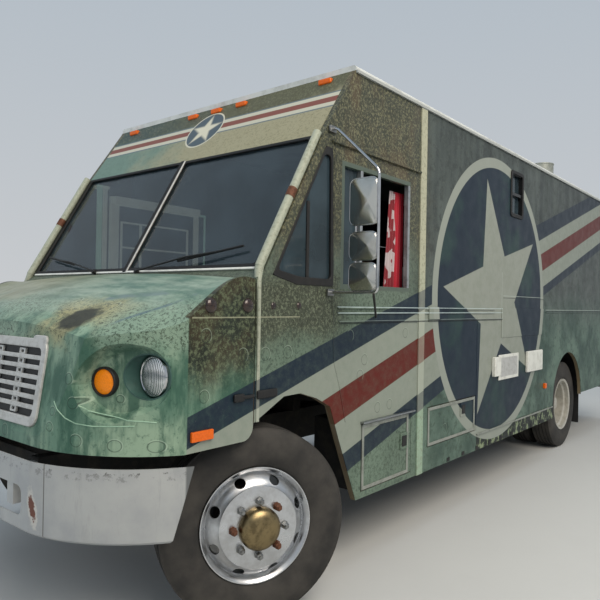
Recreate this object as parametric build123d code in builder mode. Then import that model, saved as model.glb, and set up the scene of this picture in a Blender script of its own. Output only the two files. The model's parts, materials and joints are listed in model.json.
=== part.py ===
"""Walk-in-van food truck with a tilting nose, in millimetres.

Frame: +X is the vehicle's left side, -Y its front, +Z up. The origin is on the
ground, under the middle of the vehicle's box.
"""
from build123d import *
import os
from math import cos, radians, sin, tan

os.makedirs("parts", exist_ok=True)

# Axles and wheels
wheelbase = 5199
front_axle_y = -3257
rear_axle_y = front_axle_y + wheelbase
tyre_radius = 500
tyre_width = 240
tyre_tread = 180
rim_flange_radius = 298.5
rim_half_width = 110
disc_out = 140
disc_plate = 14
stud_circle = 275
stud_count = 8
hand_hole_circle = 424
hand_hole = 46
kingpin_x = 900
wheel_offset = 240
steer_at_rest = -27.3
outer_dual_x = 1023
dual_gap = 10

# Body shell
body_half_width = 1220
wall = 40
gutter_z = 3087
roof_skin = 34
body_rear_y = 4200
skirt_z = 422
rear_skirt_z = 600
floor_top_z = 1065
floor_skin = 50
cab_seam_y = -3460
seam_gap = 8
pillar_half_width = 1170
screen_foot = (-3397, 1818)
screen_head = (-2928, 2618)
roof_front_y = -2605
cap_skin = 30
glass = 6

fit_gap = 0.4

# Wheel arches: front stations as (y, z), rear arch as a half round
front_arch = [(-3460, 1033), (-3231, 1143), (-3093, 1146), (-2945, 1102), (-2816, 1040), (-2718, 820), (-2533, skirt_z)]
rear_arch_y = 1850
rear_arch_radius = 545
rear_arch_z = 580

# Openings of the side walls, each as (low y, high y, low z, high z)
cab_window = (-2734, -1913, 1735, 2506)
small_window = (-25, 280, 2505, 2925)
front_locker = (-2483, -1850, 463, 890)
middle_locker = (-1610, -750, 594, 892)
cab_doorway = (-2500, -1800, 640, 2700)
serving_window = (-350, 1750, 1450, 2450)
door_gap = 6
panel = 25
quarter_window = [(-3340, 1790), (-3141, 1745), (-2806, 1745), (-2830, 2555), (-2895, 2560)]

# Nose
nose_y = -4290
nose_flat = 560
nose_corner = (body_half_width, -3915)
nose_mid = (1010, -4150)
nose_foot_z = 950
nose_skin = 6
hinge_y = -4265
hinge_z = 985

# Chassis
rail_x = 430
rail_depth = 220
rail_top_z = 860
rail_width = 75
rail_front_y = -4200
rail_rear_y = 4100

# Bumpers
bumper_front_y = -4325
bumper_half_width = 1240
bumper_foot_z = 555
bumper_top_z = 905
bumper_skin = 6
bumper_flange = 45
bumper_edge = 12
bumper_slant = 92
intake_width = 1100
intake_height = 140
intake_z = 695
rear_bumper_y = 4335

roof_top_z = gutter_z + roof_skin


def save(piece, node):
    """Label a finished piece and write it as one STEP file."""
    piece.part.label = node
    export_step(piece.part, "parts/" + node + ".step")


def block(low, high, mode=Mode.ADD):
    """Add, or cut, a plain block between two corners in the part being made."""
    size = [b - a for a, b in zip(low, high)]
    middle = tuple((a + b) / 2 for a, b in zip(low, high))
    with Locations(middle):
        Box(*size, mode=mode)


# Side walls

with BuildSketch() as wall_outline:
    with BuildLine():
        Polyline(
            front_arch[0],
            (cab_seam_y, screen_foot[1] - 50),
            screen_foot,
            screen_head,
            (roof_front_y, gutter_z),
            (body_rear_y, gutter_z),
            (body_rear_y, rear_skirt_z),
            (rear_arch_y + rear_arch_radius, rear_skirt_z),
            (rear_arch_y + rear_arch_radius, rear_arch_z),
        )
        ThreePointArc(
            (rear_arch_y + rear_arch_radius, rear_arch_z),
            (rear_arch_y, rear_arch_z + rear_arch_radius),
            (rear_arch_y - rear_arch_radius, rear_arch_z),
        )
        Polyline(
            (rear_arch_y - rear_arch_radius, rear_arch_z),
            (rear_arch_y - rear_arch_radius, skirt_z),
            *reversed(front_arch),
        )
    make_face()


def window_cut(box):
    """Cut one rectangular opening (low y, high y, low z, high z) in a wall sketch."""
    low_y, high_y, low_z, high_z = box
    with Locations(((low_y + high_y) / 2, (low_z + high_z) / 2)):
        Rectangle(high_y - low_y, high_z - low_z, mode=Mode.SUBTRACT)


with BuildSketch() as quarter_shape:
    with BuildLine():
        Polyline(*quarter_window, close=True)
    make_face()


with BuildPart() as left_wall:
    with BuildSketch(Plane.YZ.offset(body_half_width - wall)):
        add(wall_outline.sketch)
        add(quarter_shape.sketch, mode=Mode.SUBTRACT)
        for opening in (cab_window, small_window, front_locker, middle_locker):
            window_cut(opening)
    extrude(amount=wall)
save(left_wall, "left_wall")

with BuildPart() as right_wall:
    with BuildSketch(Plane.YZ.offset(-body_half_width)):
        add(wall_outline.sketch)
        add(quarter_shape.sketch, mode=Mode.SUBTRACT)
        for opening in (cab_doorway, serving_window):
            window_cut(opening)
    extrude(amount=wall)
save(right_wall, "right_wall")

# Rear wall round the two rear doors
rear_door_half = 700
rear_door_top_z = 2850
inner_half_width = body_half_width - wall

with BuildPart() as rear_wall:
    with BuildSketch(Plane.XZ.offset(-body_rear_y)):
        with Locations((0, (rear_skirt_z + gutter_z) / 2)):
            Rectangle(2 * inner_half_width, gutter_z - rear_skirt_z)
        with Locations((0, (floor_top_z + rear_door_top_z) / 2)):
            Rectangle(2 * rear_door_half, rear_door_top_z - floor_top_z, mode=Mode.SUBTRACT)
    extrude(amount=wall)
save(rear_wall, "rear_wall")

# Roof panel with rounded long edges and the raked cap over the windscreen
roof_edge_radius = 22

with BuildPart() as roof:
    with BuildSketch(Plane.XY.offset(gutter_z)):
        with Locations((0, (roof_front_y + body_rear_y) / 2)):
            Rectangle(2 * body_half_width, body_rear_y - roof_front_y)
    extrude(amount=roof_skin)
    fillet(roof.faces().sort_by(Axis.Z)[-1].edges().filter_by(Axis.Y), roof_edge_radius)
save(roof, "roof")


def raked_plate(foot, head, thickness):
    """Draw a leaning plate, as (y, z), that lies behind the line from foot to head."""
    with BuildSketch() as plate:
        with BuildLine():
            Polyline(
                foot,
                head,
                (head[0] + thickness, head[1]),
                (foot[0] + thickness, foot[1]),
                close=True,
            )
        make_face()
    return plate.sketch


cap_foot = (screen_head[0], screen_head[1] + 4)
cap_head = (roof_front_y, gutter_z)

with BuildPart() as front_cap:
    with BuildSketch(Plane.YZ.offset(-inner_half_width)):
        add(raked_plate(cap_foot, cap_head, cap_skin))
    extrude(amount=2 * inner_half_width)
save(front_cap, "front_cap")

# Cowl below the windscreen, with its sill, and the two screen pillars
cowl_foot_z = 1180
cowl_skin = 30
screen_sill = 60

with BuildPart() as cab_front:
    with BuildSketch(Plane.YZ.offset(-inner_half_width)):
        with BuildLine():
            Polyline(
                (cab_seam_y, cowl_foot_z),
                (cab_seam_y, screen_foot[1] - 50),
                (screen_foot[0], screen_foot[1]),
                (screen_foot[0] + screen_sill, screen_foot[1]),
                (screen_foot[0] + screen_sill, screen_foot[1] - cowl_skin),
                (cab_seam_y + cowl_skin, screen_foot[1] - 2 * cowl_skin),
                (cab_seam_y + cowl_skin, cowl_foot_z),
                close=True,
            )
        make_face()
    extrude(amount=2 * inner_half_width)
    for side in (-1, 1):
        pillar_x = -inner_half_width if side < 0 else pillar_half_width
        with BuildSketch(Plane.YZ.offset(pillar_x)):
            add(raked_plate(screen_foot, screen_head, screen_sill))
        extrude(amount=inner_half_width - pillar_half_width)
    with BuildSketch(Plane.YZ.offset(-glass)):
        add(raked_plate(screen_foot, screen_head, cap_skin))
    extrude(amount=2 * glass)
save(cab_front, "cab_front")

# Glass: two screen halves, the quarter panes, the front cab window pane and the small window
pane_inset = 12
glass_set_back = 10
frame_depth = 30
# columns: low y, high y, low z, high z
side_panes = [(cab_window[0], -2504, cab_window[2], cab_window[3]), small_window]
screen_half = (glass, pillar_half_width)

with BuildPart() as glazing:
    for side in (-1, 1):
        low_x = screen_half[0] if side > 0 else -screen_half[1]
        with BuildSketch(Plane.YZ.offset(low_x)):
            add(raked_plate(
                (screen_foot[0] + glass_set_back, screen_foot[1]),
                (screen_head[0] + glass_set_back, screen_head[1]),
                glass,
            ))
        extrude(amount=screen_half[1] - screen_half[0])
        quarter_x = body_half_width - wall / 2 if side > 0 else wall / 2 - body_half_width - glass
        with BuildSketch(Plane.YZ.offset(quarter_x)):
            add(quarter_shape.sketch)
        extrude(amount=glass)
    for low_y, high_y, low_z, high_z in side_panes:
        pane_low = (body_half_width - frame_depth - glass, low_y + pane_inset, low_z + pane_inset)
        block(pane_low, (body_half_width - frame_depth, high_y - pane_inset, high_z - pane_inset))
save(glazing, "glazing")

# Aluminium frames of the sliding cab window and the small window
frame_bar = 28
# columns: opening, bar's middle, bar's size
framed_windows = [(cab_window, (-2520, 2120), (frame_bar, 740)), (small_window, (127, 2715), (280, frame_bar))]

with BuildPart() as window_frames:
    for opening, bar_at, bar_size in framed_windows:
        low_y, high_y, low_z, high_z = opening
        with BuildSketch(Plane.YZ.offset(body_half_width - frame_depth)):
            with Locations(((low_y + high_y) / 2, (low_z + high_z) / 2)):
                Rectangle(high_y - low_y, high_z - low_z)
                Rectangle(high_y - low_y - 2 * frame_bar, high_z - low_z - 2 * frame_bar, mode=Mode.SUBTRACT)
            with Locations(bar_at):
                Rectangle(*bar_size)
        extrude(amount=frame_depth)
save(window_frames, "window_frames")

# Floor with its cross sills and the entry step on the right
slide_gap = 10
slide_thickness = 30
slide_outer_x = slide_gap - inner_half_width
door_room_x = slide_outer_x + slide_thickness + 10
door_overlap = 30
door_travel = 690
step_x = -800
step_z = 620
step_skin = 20
sill_width = 80
sill_stations = [-2300, -1100, 100, 1300, 2500, 3700]
floor_front_y = cab_seam_y + cowl_skin
floor_foot_z = floor_top_z - floor_skin
well_x = 620
well_skin = 10
# columns: low y, high y, top z
wheel_wells = [(floor_front_y, -2600, 1160), (1290, 2410, 1145)]

with BuildPart() as floor:
    block((-inner_half_width, floor_front_y, floor_foot_z), (inner_half_width, body_rear_y - wall, floor_top_z))
    well_low = (-inner_half_width, cab_doorway[0], floor_foot_z)
    block(well_low, (step_x, cab_doorway[1], floor_top_z), mode=Mode.SUBTRACT)
    run_low = (-inner_half_width, cab_doorway[0] - door_overlap - 10, floor_foot_z)
    block(run_low, (door_room_x, cab_doorway[1] + door_overlap + door_travel + 10, floor_top_z), mode=Mode.SUBTRACT)
    for side in (-1, 1):
        for low_y, high_y, top_z in wheel_wells:
            outer_x = sorted((side * well_x, side * inner_half_width))
            block((outer_x[0], low_y, floor_foot_z), (outer_x[1], high_y, top_z))
            room_x = sorted((side * (well_x + well_skin), side * inner_half_width))
            room_low = (room_x[0], low_y + well_skin, floor_foot_z)
            block(room_low, (room_x[1], high_y - well_skin, top_z - well_skin), mode=Mode.SUBTRACT)
save(floor, "floor")

# Step well inside the cab door, hung under the floor
with BuildPart() as step_well:
    block((-inner_half_width, cab_doorway[0], step_z), (step_x, cab_doorway[1], step_z + step_skin))
    block((step_x, cab_doorway[0], step_z), (step_x + step_skin, cab_doorway[1], floor_foot_z))
    for side_y in (cab_doorway[0] - step_skin, cab_doorway[1]):
        block((door_room_x, side_y, step_z), (step_x + step_skin, side_y + step_skin, floor_foot_z))
save(step_well, "step_well")

# Sills that carry the floor on the chassis rails
with BuildPart() as floor_sills:
    for sill_y in sill_stations:
        block((-rail_x - rail_width, sill_y, rail_top_z), (rail_x + rail_width, sill_y + sill_width, floor_foot_z))
save(floor_sills, "floor_sills")

# Chassis: two channel rails and their cross members
cross_stations = [-4100, -2500, -900, 700, 2600, 4000]
cross_depth = 150
channel_web = 10

with BuildPart() as chassis_frame:
    for side in (-1, 1):
        with BuildSketch(Plane.XZ.offset(-rail_front_y)):
            with Locations((side * rail_x, rail_top_z - rail_depth / 2)):
                Rectangle(rail_width, rail_depth)
            with Locations((side * (rail_x - channel_web), rail_top_z - rail_depth / 2)):
                Rectangle(rail_width, rail_depth - 2 * channel_web, mode=Mode.SUBTRACT)
        extrude(amount=-(rail_rear_y - rail_front_y))
    for cross_y in cross_stations:
        block(
            (channel_web - rail_x - rail_width / 2, cross_y, rail_top_z - cross_depth - 30),
            (rail_x + rail_width / 2 - channel_web, cross_y + channel_web, rail_top_z - 30),
        )
save(chassis_frame, "chassis_frame")

# Engine as one block at its real place
engine_low = (-330, -3950, 700)
engine_high = (330, -2900, floor_foot_z)

with BuildPart() as engine_block:
    block(engine_low, engine_high)
    block((-330, engine_low[1] + 60, engine_high[2]), (330, cab_seam_y - 20, engine_high[2] + 330))
    chamfer(engine_block.edges().filter_by(Axis.Y), 40)
save(engine_block, "engine_block")

# Axles with their leaf springs
spring_width = 70
spring_leaf = 55
spring_half = 640
hub_z = tyre_radius
beam_top_z = hub_z + 40
rail_foot_z = rail_top_z - rail_depth


def spring_pack(axle_y, seat_z):
    """Make a pair of leaf packs that bow down from the rails to the axle seat."""
    with BuildPart() as pair:
        for side in (-1, 1):
            with BuildSketch(Plane.YZ.offset(side * rail_x - spring_width / 2)):
                with BuildLine():
                    ThreePointArc(
                        (axle_y - spring_half, rail_foot_z - 8),
                        (axle_y, seat_z + spring_leaf),
                        (axle_y + spring_half, rail_foot_z - 8),
                    )
                    Line((axle_y + spring_half, rail_foot_z - 8), (axle_y + spring_half, rail_foot_z - 28))
                    ThreePointArc(
                        (axle_y + spring_half, rail_foot_z - 28),
                        (axle_y, seat_z),
                        (axle_y - spring_half, rail_foot_z - 28),
                    )
                    Line((axle_y - spring_half, rail_foot_z - 28), (axle_y - spring_half, rail_foot_z - 8))
                make_face()
            extrude(amount=spring_width)
            for end in (-1, 1):
                end_y = axle_y + end * (spring_half - 20)
                block(
                    (side * rail_x - spring_width / 2, end_y - 20, rail_foot_z - 28),
                    (side * rail_x + spring_width / 2, end_y + 20, rail_foot_z),
                )
            clamp_low = (side * rail_x - 45, axle_y - 60, seat_z - 20)
            block(clamp_low, (side * rail_x + 45, axle_y + 60, seat_z + spring_leaf + 10))
    return pair.part


kingpin_boss = 34
kingpin_radius = 18
kingpin_play = 0.3
ear = 24
boss_foot_z = hub_z - 60
ear_foot_z = boss_foot_z - kingpin_play - ear
ear_top_z = beam_top_z + kingpin_play + ear

with BuildPart() as front_axle:
    add(spring_pack(front_axle_y, beam_top_z))
    block((-kingpin_x, front_axle_y - 45, hub_z - 50), (kingpin_x, front_axle_y + 45, beam_top_z))
    for side in (-1, 1):
        with Locations((side * kingpin_x, front_axle_y, (boss_foot_z + beam_top_z) / 2)):
            Cylinder(kingpin_boss, beam_top_z - boss_foot_z)
        with Locations((side * kingpin_x, front_axle_y, (ear_foot_z + ear_top_z) / 2)):
            Cylinder(kingpin_radius, ear_top_z - ear_foot_z)
save(front_axle, "front_axle")

axle_tube = 65
diff_radius = 170
pinion_radius = 70
pinion_reach = 230
drum_radius = 195
drum_width = 120
spindle_radius = 40
spindle_play = 0.05
spindle_seat = 40
dual_centre_x = outer_dual_x - disc_out
rear_hub_x = dual_centre_x - 118

with BuildPart() as rear_axle:
    add(spring_pack(rear_axle_y, hub_z + axle_tube - 8))
    # columns: half length, radius
    for half, radius in ((rear_hub_x - 8, axle_tube), (rear_hub_x + spindle_seat - 2, spindle_radius)):
        with BuildSketch(Plane.YZ.offset(-half)):
            with Locations((rear_axle_y, hub_z)):
                Circle(radius)
        extrude(amount=2 * half)
    for side in (-1, 1):
        drum_x = side * (rear_hub_x - 8 - drum_width)
        with BuildSketch(Plane.YZ.offset(drum_x)):
            with Locations((rear_axle_y, hub_z)):
                Circle(drum_radius)
        extrude(amount=side * drum_width)
    with Locations((0, rear_axle_y, hub_z)):
        Sphere(diff_radius)
    with BuildSketch(Plane.XZ.offset(-rear_axle_y)):
        with Locations((0, hub_z)):
            Circle(pinion_radius)
    extrude(amount=pinion_reach)
save(rear_axle, "rear_axle")

with BuildPart() as propshaft:
    shaft_z = (rail_foot_z + hub_z) / 2
    with BuildSketch(Plane.XZ.offset(-engine_high[1])):
        with Locations((0, shaft_z + 60)):
            Circle(45)
    with BuildSketch(Plane.XZ.offset(pinion_reach - rear_axle_y)):
        with Locations((0, hub_z)):
            Circle(45)
    loft()
save(propshaft, "propshaft")

# Fuel tank between the rail and the left skirt, and the exhaust on the right
tank_length = 1100
tank_y = 0

with BuildPart() as fuel_tank:
    with BuildSketch(Plane.XZ.offset(-tank_y)):
        with Locations((rail_x + rail_width / 2 + 250, 660)):
            RectangleRounded(480, 360, 90)
    extrude(amount=-tank_length)
    block(
        (rail_x + rail_width / 2, tank_y + 200, 700),
        (rail_x + rail_width / 2 + 40, tank_y + tank_length - 200, 760),
    )
save(fuel_tank, "fuel_tank")

silencer_y = -1400
silencer_x = -720

with BuildPart() as exhaust:
    with BuildSketch(Plane.XZ.offset(-silencer_y)):
        with Locations((silencer_x, 640)):
            Circle(130)
    extrude(amount=-1100)
    with BuildSketch(Plane.XZ.offset(-(silencer_y + 1100))):
        with Locations((silencer_x, 640)):
            Circle(50)
    extrude(amount=-900)
    for hanger_y in (silencer_y + 200, silencer_y + 900):
        block((silencer_x - 15, hanger_y, 740), (silencer_x + 15, hanger_y + 40, rail_top_z + 155))
save(exhaust, "exhaust")

# Nose: outline in plan, and a loft over sections across it
# columns: y, side top z, crease x, crease z, crown z
nose_sections = [
    (-4320, 1330, 700, 1370, 1400),
    (-4110, 1440, 950, 1530, 1600),
    (-3910, 1548, 995, 1615, 1690),
    (-3730, 1690, 1040, 1700, 1752),
    (cab_seam_y - seam_gap, 1758, 1120, 1768, 1808),
]


nose_rake = 8.5
nose_rake_z = 1000


def nose_outline(inset):
    """Draw the nose's plan outline, moved in by inset."""
    half = body_half_width - inset
    corner_y = nose_corner[1] + inset / 2
    front_y = nose_y + inset
    rear_y = cab_seam_y - seam_gap
    with BuildSketch() as flat:
        with BuildLine():
            Line((half, rear_y), (half, corner_y))
            ThreePointArc((half, corner_y), (nose_mid[0] - inset, nose_mid[1] + inset), (nose_flat, front_y))
            Line((nose_flat, front_y), (-nose_flat, front_y))
            ThreePointArc((-nose_flat, front_y), (-nose_mid[0] + inset, nose_mid[1] + inset), (-half, corner_y))
            Line((-half, corner_y), (-half, rear_y))
            Line((-half, rear_y), (half, rear_y))
        make_face()
    return flat.sketch


def nose_body(inset):
    """Loft the nose over its sections, trim it to the plan outline and rake its face."""
    half = body_half_width - inset + 40
    foot_z = nose_foot_z if inset == 0 else nose_foot_z - 20
    with BuildPart() as body:
        for y, side_z, crease_x, crease_z, crown_z in nose_sections:
            with BuildSketch(Plane.XZ.offset(-y)):
                with BuildLine():
                    Line((-half, foot_z), (half, foot_z))
                    Line((half, foot_z), (half, side_z - inset))
                    Line((half, side_z - inset), (crease_x, crease_z - inset))
                    ThreePointArc(
                        (crease_x, crease_z - inset), (0, crown_z - inset), (-crease_x, crease_z - inset)
                    )
                    Line((-crease_x, crease_z - inset), (-half, side_z - inset))
                    Line((-half, side_z - inset), (-half, foot_z))
                make_face()
        loft()
        with BuildSketch(Plane.XY.offset(foot_z - 5)):
            add(nose_outline(inset))
        extrude(amount=1200, mode=Mode.INTERSECT)
        front_y = nose_y + inset
        rake_rise = 900
        with BuildSketch(Plane.YZ.offset(-half)):
            with BuildLine():
                Polyline(
                    (front_y, nose_rake_z),
                    (front_y + rake_rise * tan(radians(nose_rake)), nose_rake_z + rake_rise),
                    (front_y - 200, nose_rake_z + rake_rise),
                    (front_y - 200, nose_rake_z),
                    close=True,
                )
            make_face()
        extrude(amount=2 * half, mode=Mode.SUBTRACT)
    return body.part


grille_half = 600
grille_foot_z = 1035
grille_top_z = 1455
grille_frame = 45
slat_count = 7
slat = 20
column_pitch = 235
grille_depth = 24
headlamp_x = 1092
headlamp_z = 1300
headlamp_radius = 93
headlamp_y = -3975
headlamp_depth = 34
bucket_radius = 106
bucket_skin = 6
turn_x = 907
turn_y = -4122
turn_z = 1270
turn_radius = 69
turn_angle = 16
lip_radius = 70
pod_x = 985
pod_y = -4080
pod_angle = 28
pod_flare = -30
pod_reach = 160

nose_shell = nose_body(0)
nose_room = nose_body(nose_skin)
face = Plane(
    origin=(0, nose_y, nose_rake_z),
    x_dir=(1, 0, 0),
    z_dir=(0, -cos(radians(nose_rake)), sin(radians(nose_rake))),
)
grille_rise = (grille_foot_z + grille_top_z) / 2 - nose_rake_z
grille_height = grille_top_z - grille_foot_z


def turn_plane(side):
    """The plane of one turn lamp, facing out of the nose's corner."""
    out = (side * sin(radians(turn_angle)), -cos(radians(turn_angle)), 0)
    return Plane(origin=(side * turn_x, turn_y, turn_z), x_dir=(0, 0, 1), z_dir=out)


def pod_dish(side, skin):
    """Make the flared, egg-shaped room round one pair of lamps, with skin left behind it."""
    tilt = radians(pod_angle)
    # columns: distance outboard of the pod's origin along its floor, height
    egg = [
        (-169, 1255), (-76, 1369), (95, 1416), (207, 1376), (241, 1290), (196, 1197), (85, 1164), (-130, 1185),
    ]
    plane = Plane(
        origin=(side * (pod_x - skin * sin(tilt)), pod_y + skin * cos(tilt), 0),
        x_dir=(side * cos(tilt), sin(tilt), 0),
        z_dir=(side * sin(tilt), -cos(tilt), 0),
    )
    up = 1 if plane.y_dir.Z > 0 else -1
    corners = [(across, up * height) for across, height in egg]
    with BuildPart() as dish:
        with BuildSketch(plane):
            with BuildLine():
                for i in (0, 2, 4, 6):
                    ThreePointArc(corners[i], corners[i + 1], corners[(i + 2) % 8])
            make_face()
            if skin:
                offset(amount=skin)
        extrude(amount=pod_reach + skin, taper=pod_flare)
    return dish.part


with BuildPart() as hood:
    for side in (-1, 1):
        add(pod_dish(side, nose_skin))
    add(nose_shell, mode=Mode.INTERSECT)
    with BuildPart(mode=Mode.ADD):
        add(nose_shell)
        add(nose_room, mode=Mode.SUBTRACT)
    for side in (-1, 1):
        add(pod_dish(side, 0), mode=Mode.SUBTRACT)
    with BuildSketch(face):
        with Locations((0, grille_rise)):
            RectangleRounded(2 * grille_half, grille_height, 60)
    extrude(amount=80, both=True, mode=Mode.SUBTRACT)
    for side in (-1, 1):
        with BuildSketch(Plane.XZ.offset(-headlamp_y - bucket_skin - fit_gap)):
            with Locations((side * headlamp_x, headlamp_z)):
                Circle(bucket_radius)
        extrude(amount=400, mode=Mode.SUBTRACT)
        with BuildSketch(turn_plane(side)):
            Circle(turn_radius + fit_gap)
        extrude(amount=60, both=True, mode=Mode.SUBTRACT)
    rear_y = cab_seam_y - seam_gap
    with BuildSketch(Plane.YZ.offset(-body_half_width)):
        with Locations((rear_y - lip_radius / 2, nose_foot_z + lip_radius / 2)):
            Rectangle(lip_radius, lip_radius)
        with Locations((rear_y - lip_radius, nose_foot_z + lip_radius)):
            Circle(lip_radius, mode=Mode.SUBTRACT)
    extrude(amount=2 * body_half_width, mode=Mode.SUBTRACT)
save(hood, "hood")

slat_pitch = (grille_height - 2 * grille_frame) / slat_count

with BuildPart() as grille:
    with BuildSketch(face.offset(-grille_depth / 2)):
        with Locations((0, grille_rise)):
            RectangleRounded(2 * (grille_half - fit_gap), grille_height - 2 * fit_gap, 60 - fit_gap)
            RectangleRounded(
                2 * (grille_half - grille_frame), grille_height - 2 * grille_frame, 30, mode=Mode.SUBTRACT
            )
            with GridLocations(0, slat_pitch, 1, slat_count - 1):
                Rectangle(2 * grille_half - grille_frame, slat)
            with GridLocations(column_pitch, 0, 4, 1):
                Rectangle(slat, grille_height - grille_frame)
    extrude(amount=grille_depth)
save(grille, "grille")

with BuildPart() as front_lamps:
    for side in (-1, 1):
        with BuildSketch(Plane.XZ.offset(-headlamp_y)):
            with Locations((side * headlamp_x, headlamp_z)):
                Circle(bucket_radius - fit_gap)
                Circle(bucket_radius - bucket_skin, mode=Mode.SUBTRACT)
        extrude(amount=400)
    add(nose_shell, mode=Mode.INTERSECT)
    for side in (-1, 1):
        add(pod_dish(side, 0), mode=Mode.SUBTRACT)
        with BuildSketch(Plane.XZ.offset(-headlamp_y)):
            with Locations((side * headlamp_x, headlamp_z)):
                Circle(bucket_radius - fit_gap)
        extrude(amount=-bucket_skin)
        with BuildSketch(Plane.XZ.offset(-headlamp_y)):
            with Locations((side * headlamp_x, headlamp_z)):
                Circle(headlamp_radius)
        extrude(amount=headlamp_depth, taper=12)
        with BuildSketch(turn_plane(side)):
            Circle(turn_radius)
        extrude(amount=14)
        with BuildSketch(turn_plane(side)):
            Circle(turn_radius)
        extrude(amount=-26)
save(front_lamps, "front_lamps")

# Front bumper: a bent channel with an opening in its middle
bumper_plan = [(0, bumper_front_y), (620, bumper_front_y), (1030, -4140), (bumper_half_width, -3860)]


bumper_end_y = bumper_plan[-1][1]


def bumper_outline(inset):
    """Draw the room behind the bumper's bowed line, moved in by inset."""
    middle, shoulder, bow, end = [(x - inset * (x > 0), y + inset) for x, y in bumper_plan]
    back = (end[0], bumper_end_y + 200)
    with BuildSketch() as flat:
        with BuildLine():
            for side in (-1, 1):
                Line(middle, (side * shoulder[0], shoulder[1]))
                ThreePointArc(*[(side * x, y) for x, y in (shoulder, bow, end)])
                Line((side * end[0], end[1]), (side * back[0], back[1]))
            Line((-back[0], back[1]), back)
        make_face()
    return flat.sketch


with BuildPart() as front_bumper:
    with BuildSketch(Plane.XY.offset(bumper_foot_z + bumper_edge)):
        add(bumper_outline(0))
    extrude(amount=bumper_top_z - bumper_foot_z - 2 * bumper_edge)
    extrude(front_bumper.faces().sort_by(Axis.Z)[-1], amount=bumper_edge, taper=45)
    extrude(front_bumper.faces().sort_by(Axis.Z)[0], amount=bumper_edge, taper=45)
    with BuildSketch(Plane.XY.offset(bumper_foot_z + bumper_skin)):
        add(bumper_outline(bumper_skin))
    extrude(amount=bumper_top_z - bumper_foot_z - 2 * bumper_skin, mode=Mode.SUBTRACT)
    with BuildSketch(Plane.XY.offset(bumper_foot_z - 10)):
        add(bumper_outline(bumper_flange))
    extrude(amount=bumper_top_z - bumper_foot_z + 20, mode=Mode.SUBTRACT)
    with BuildSketch(Plane.YZ.offset(-bumper_half_width - 10)):
        with BuildLine():
            Polyline(
                (bumper_end_y, bumper_top_z + 10),
                (bumper_end_y - bumper_slant, bumper_foot_z - 10),
                (bumper_end_y + 210, bumper_foot_z - 10),
                (bumper_end_y + 210, bumper_top_z + 10),
                close=True,
            )
        make_face()
    extrude(amount=2 * bumper_half_width + 20, mode=Mode.SUBTRACT)
    with BuildSketch(Plane.XZ.offset(-bumper_front_y + 20)):
        with Locations((0, intake_z)):
            RectangleRounded(intake_width, intake_height, 40)
    extrude(amount=-80, mode=Mode.SUBTRACT)
    for side in (-1, 1):
        block(
            (side * rail_x - 30, bumper_front_y + bumper_skin, rail_foot_z + 20),
            (side * rail_x + 30, rail_front_y, rail_top_z - 20),
        )
save(front_bumper, "front_bumper")

with BuildPart() as rear_bumper:
    block((-1150, body_rear_y + 4, 480), (1150, rear_bumper_y, 560))
    for side in (-1, 1):
        block(
            (side * rail_x - 30, rail_rear_y, 480),
            (side * rail_x + 30, rail_rear_y + 50, rail_top_z - 40),
        )
        block((side * rail_x - 30, rail_rear_y, 480), (side * rail_x + 30, body_rear_y + 4, 560))
save(rear_bumper, "rear_bumper")

# Wheels and tyres, made round the X axis and then set on their axles


bead_radius = rim_flange_radius + 0.5

with BuildSketch() as tyre_section:
    half = tyre_width / 2
    tread = tyre_tread / 2
    with BuildLine():
        Line((-100, bead_radius), (100, bead_radius))
        ThreePointArc((100, bead_radius), (half, bead_radius + 90), (tread + 8, tyre_radius - 18))
        ThreePointArc((tread + 8, tyre_radius - 18), (tread, tyre_radius - 7), (tread - 12, tyre_radius - 3))
        ThreePointArc((tread - 12, tyre_radius - 3), (0, tyre_radius), (-tread + 12, tyre_radius - 3))
        ThreePointArc((-tread + 12, tyre_radius - 3), (-tread, tyre_radius - 7), (-tread - 8, tyre_radius - 18))
        ThreePointArc((-tread - 8, tyre_radius - 18), (-half, bead_radius + 90), (-100, bead_radius))
    make_face()


def rim_section(way):
    """Draw a dished wheel's section; way is 1 where its disc stands outboard, -1 inboard."""
    flange = rim_flange_radius
    lip = rim_half_width
    barrel = [
        (lip, flange), (lip - 12, flange), (lip - 14, flange - 12), (60, flange - 14), (42, flange - 36),
        (-42, flange - 36), (-60, flange - 14), (14 - lip, flange - 12), (12 - lip, flange), (-lip, flange),
        (6 - lip, flange - 26), (-62, flange - 28), (-48, flange - 50), (48, flange - 50), (62, flange - 28),
        (lip - 6, flange - 26),
    ]
    disc = [
        (40, flange - 44), (66, flange - 36), (118, 242), (disc_out, 208), (disc_out, 84),
        (disc_out - disc_plate, 84), (disc_out - disc_plate, 202), (106, 230), (50, flange - 56),
    ]
    with BuildSketch() as section:
        with BuildLine():
            Polyline(*barrel, close=True)
        make_face()
        with BuildLine():
            Polyline(*[(way * across, radius) for across, radius in disc], close=True)
        make_face()
    return section.sketch


def wheel_shape(way):
    """Revolve one rim and cut its hand holes."""
    with BuildPart() as shape:
        with BuildSketch(Plane.XY):
            add(rim_section(way))
        revolve(axis=Axis.X)
        with BuildSketch(Plane.YZ.offset(way * 90)):
            with PolarLocations(hand_hole_circle / 2, stud_count, start_angle=180 / stud_count):
                Circle(hand_hole / 2)
        extrude(amount=way * 80, mode=Mode.SUBTRACT)
    return shape.part


nut_length = 34
nut_radius = 18
hub_cap_radius = 106


def nut_ring(start):
    """Make the ring of wheel nuts that stands on a disc face at start."""
    with BuildPart() as ring:
        with BuildSketch(Plane.YZ.offset(start)):
            with PolarLocations(stud_circle / 2, stud_count):
                RegularPolygon(nut_radius, 6)
        extrude(amount=nut_length)
    return ring.part


front_rim = wheel_shape(1)
outer_rim = wheel_shape(-1)
front_hub_in = disc_out - disc_plate - 60
rear_hub_in = rear_hub_x - dual_centre_x

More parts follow.
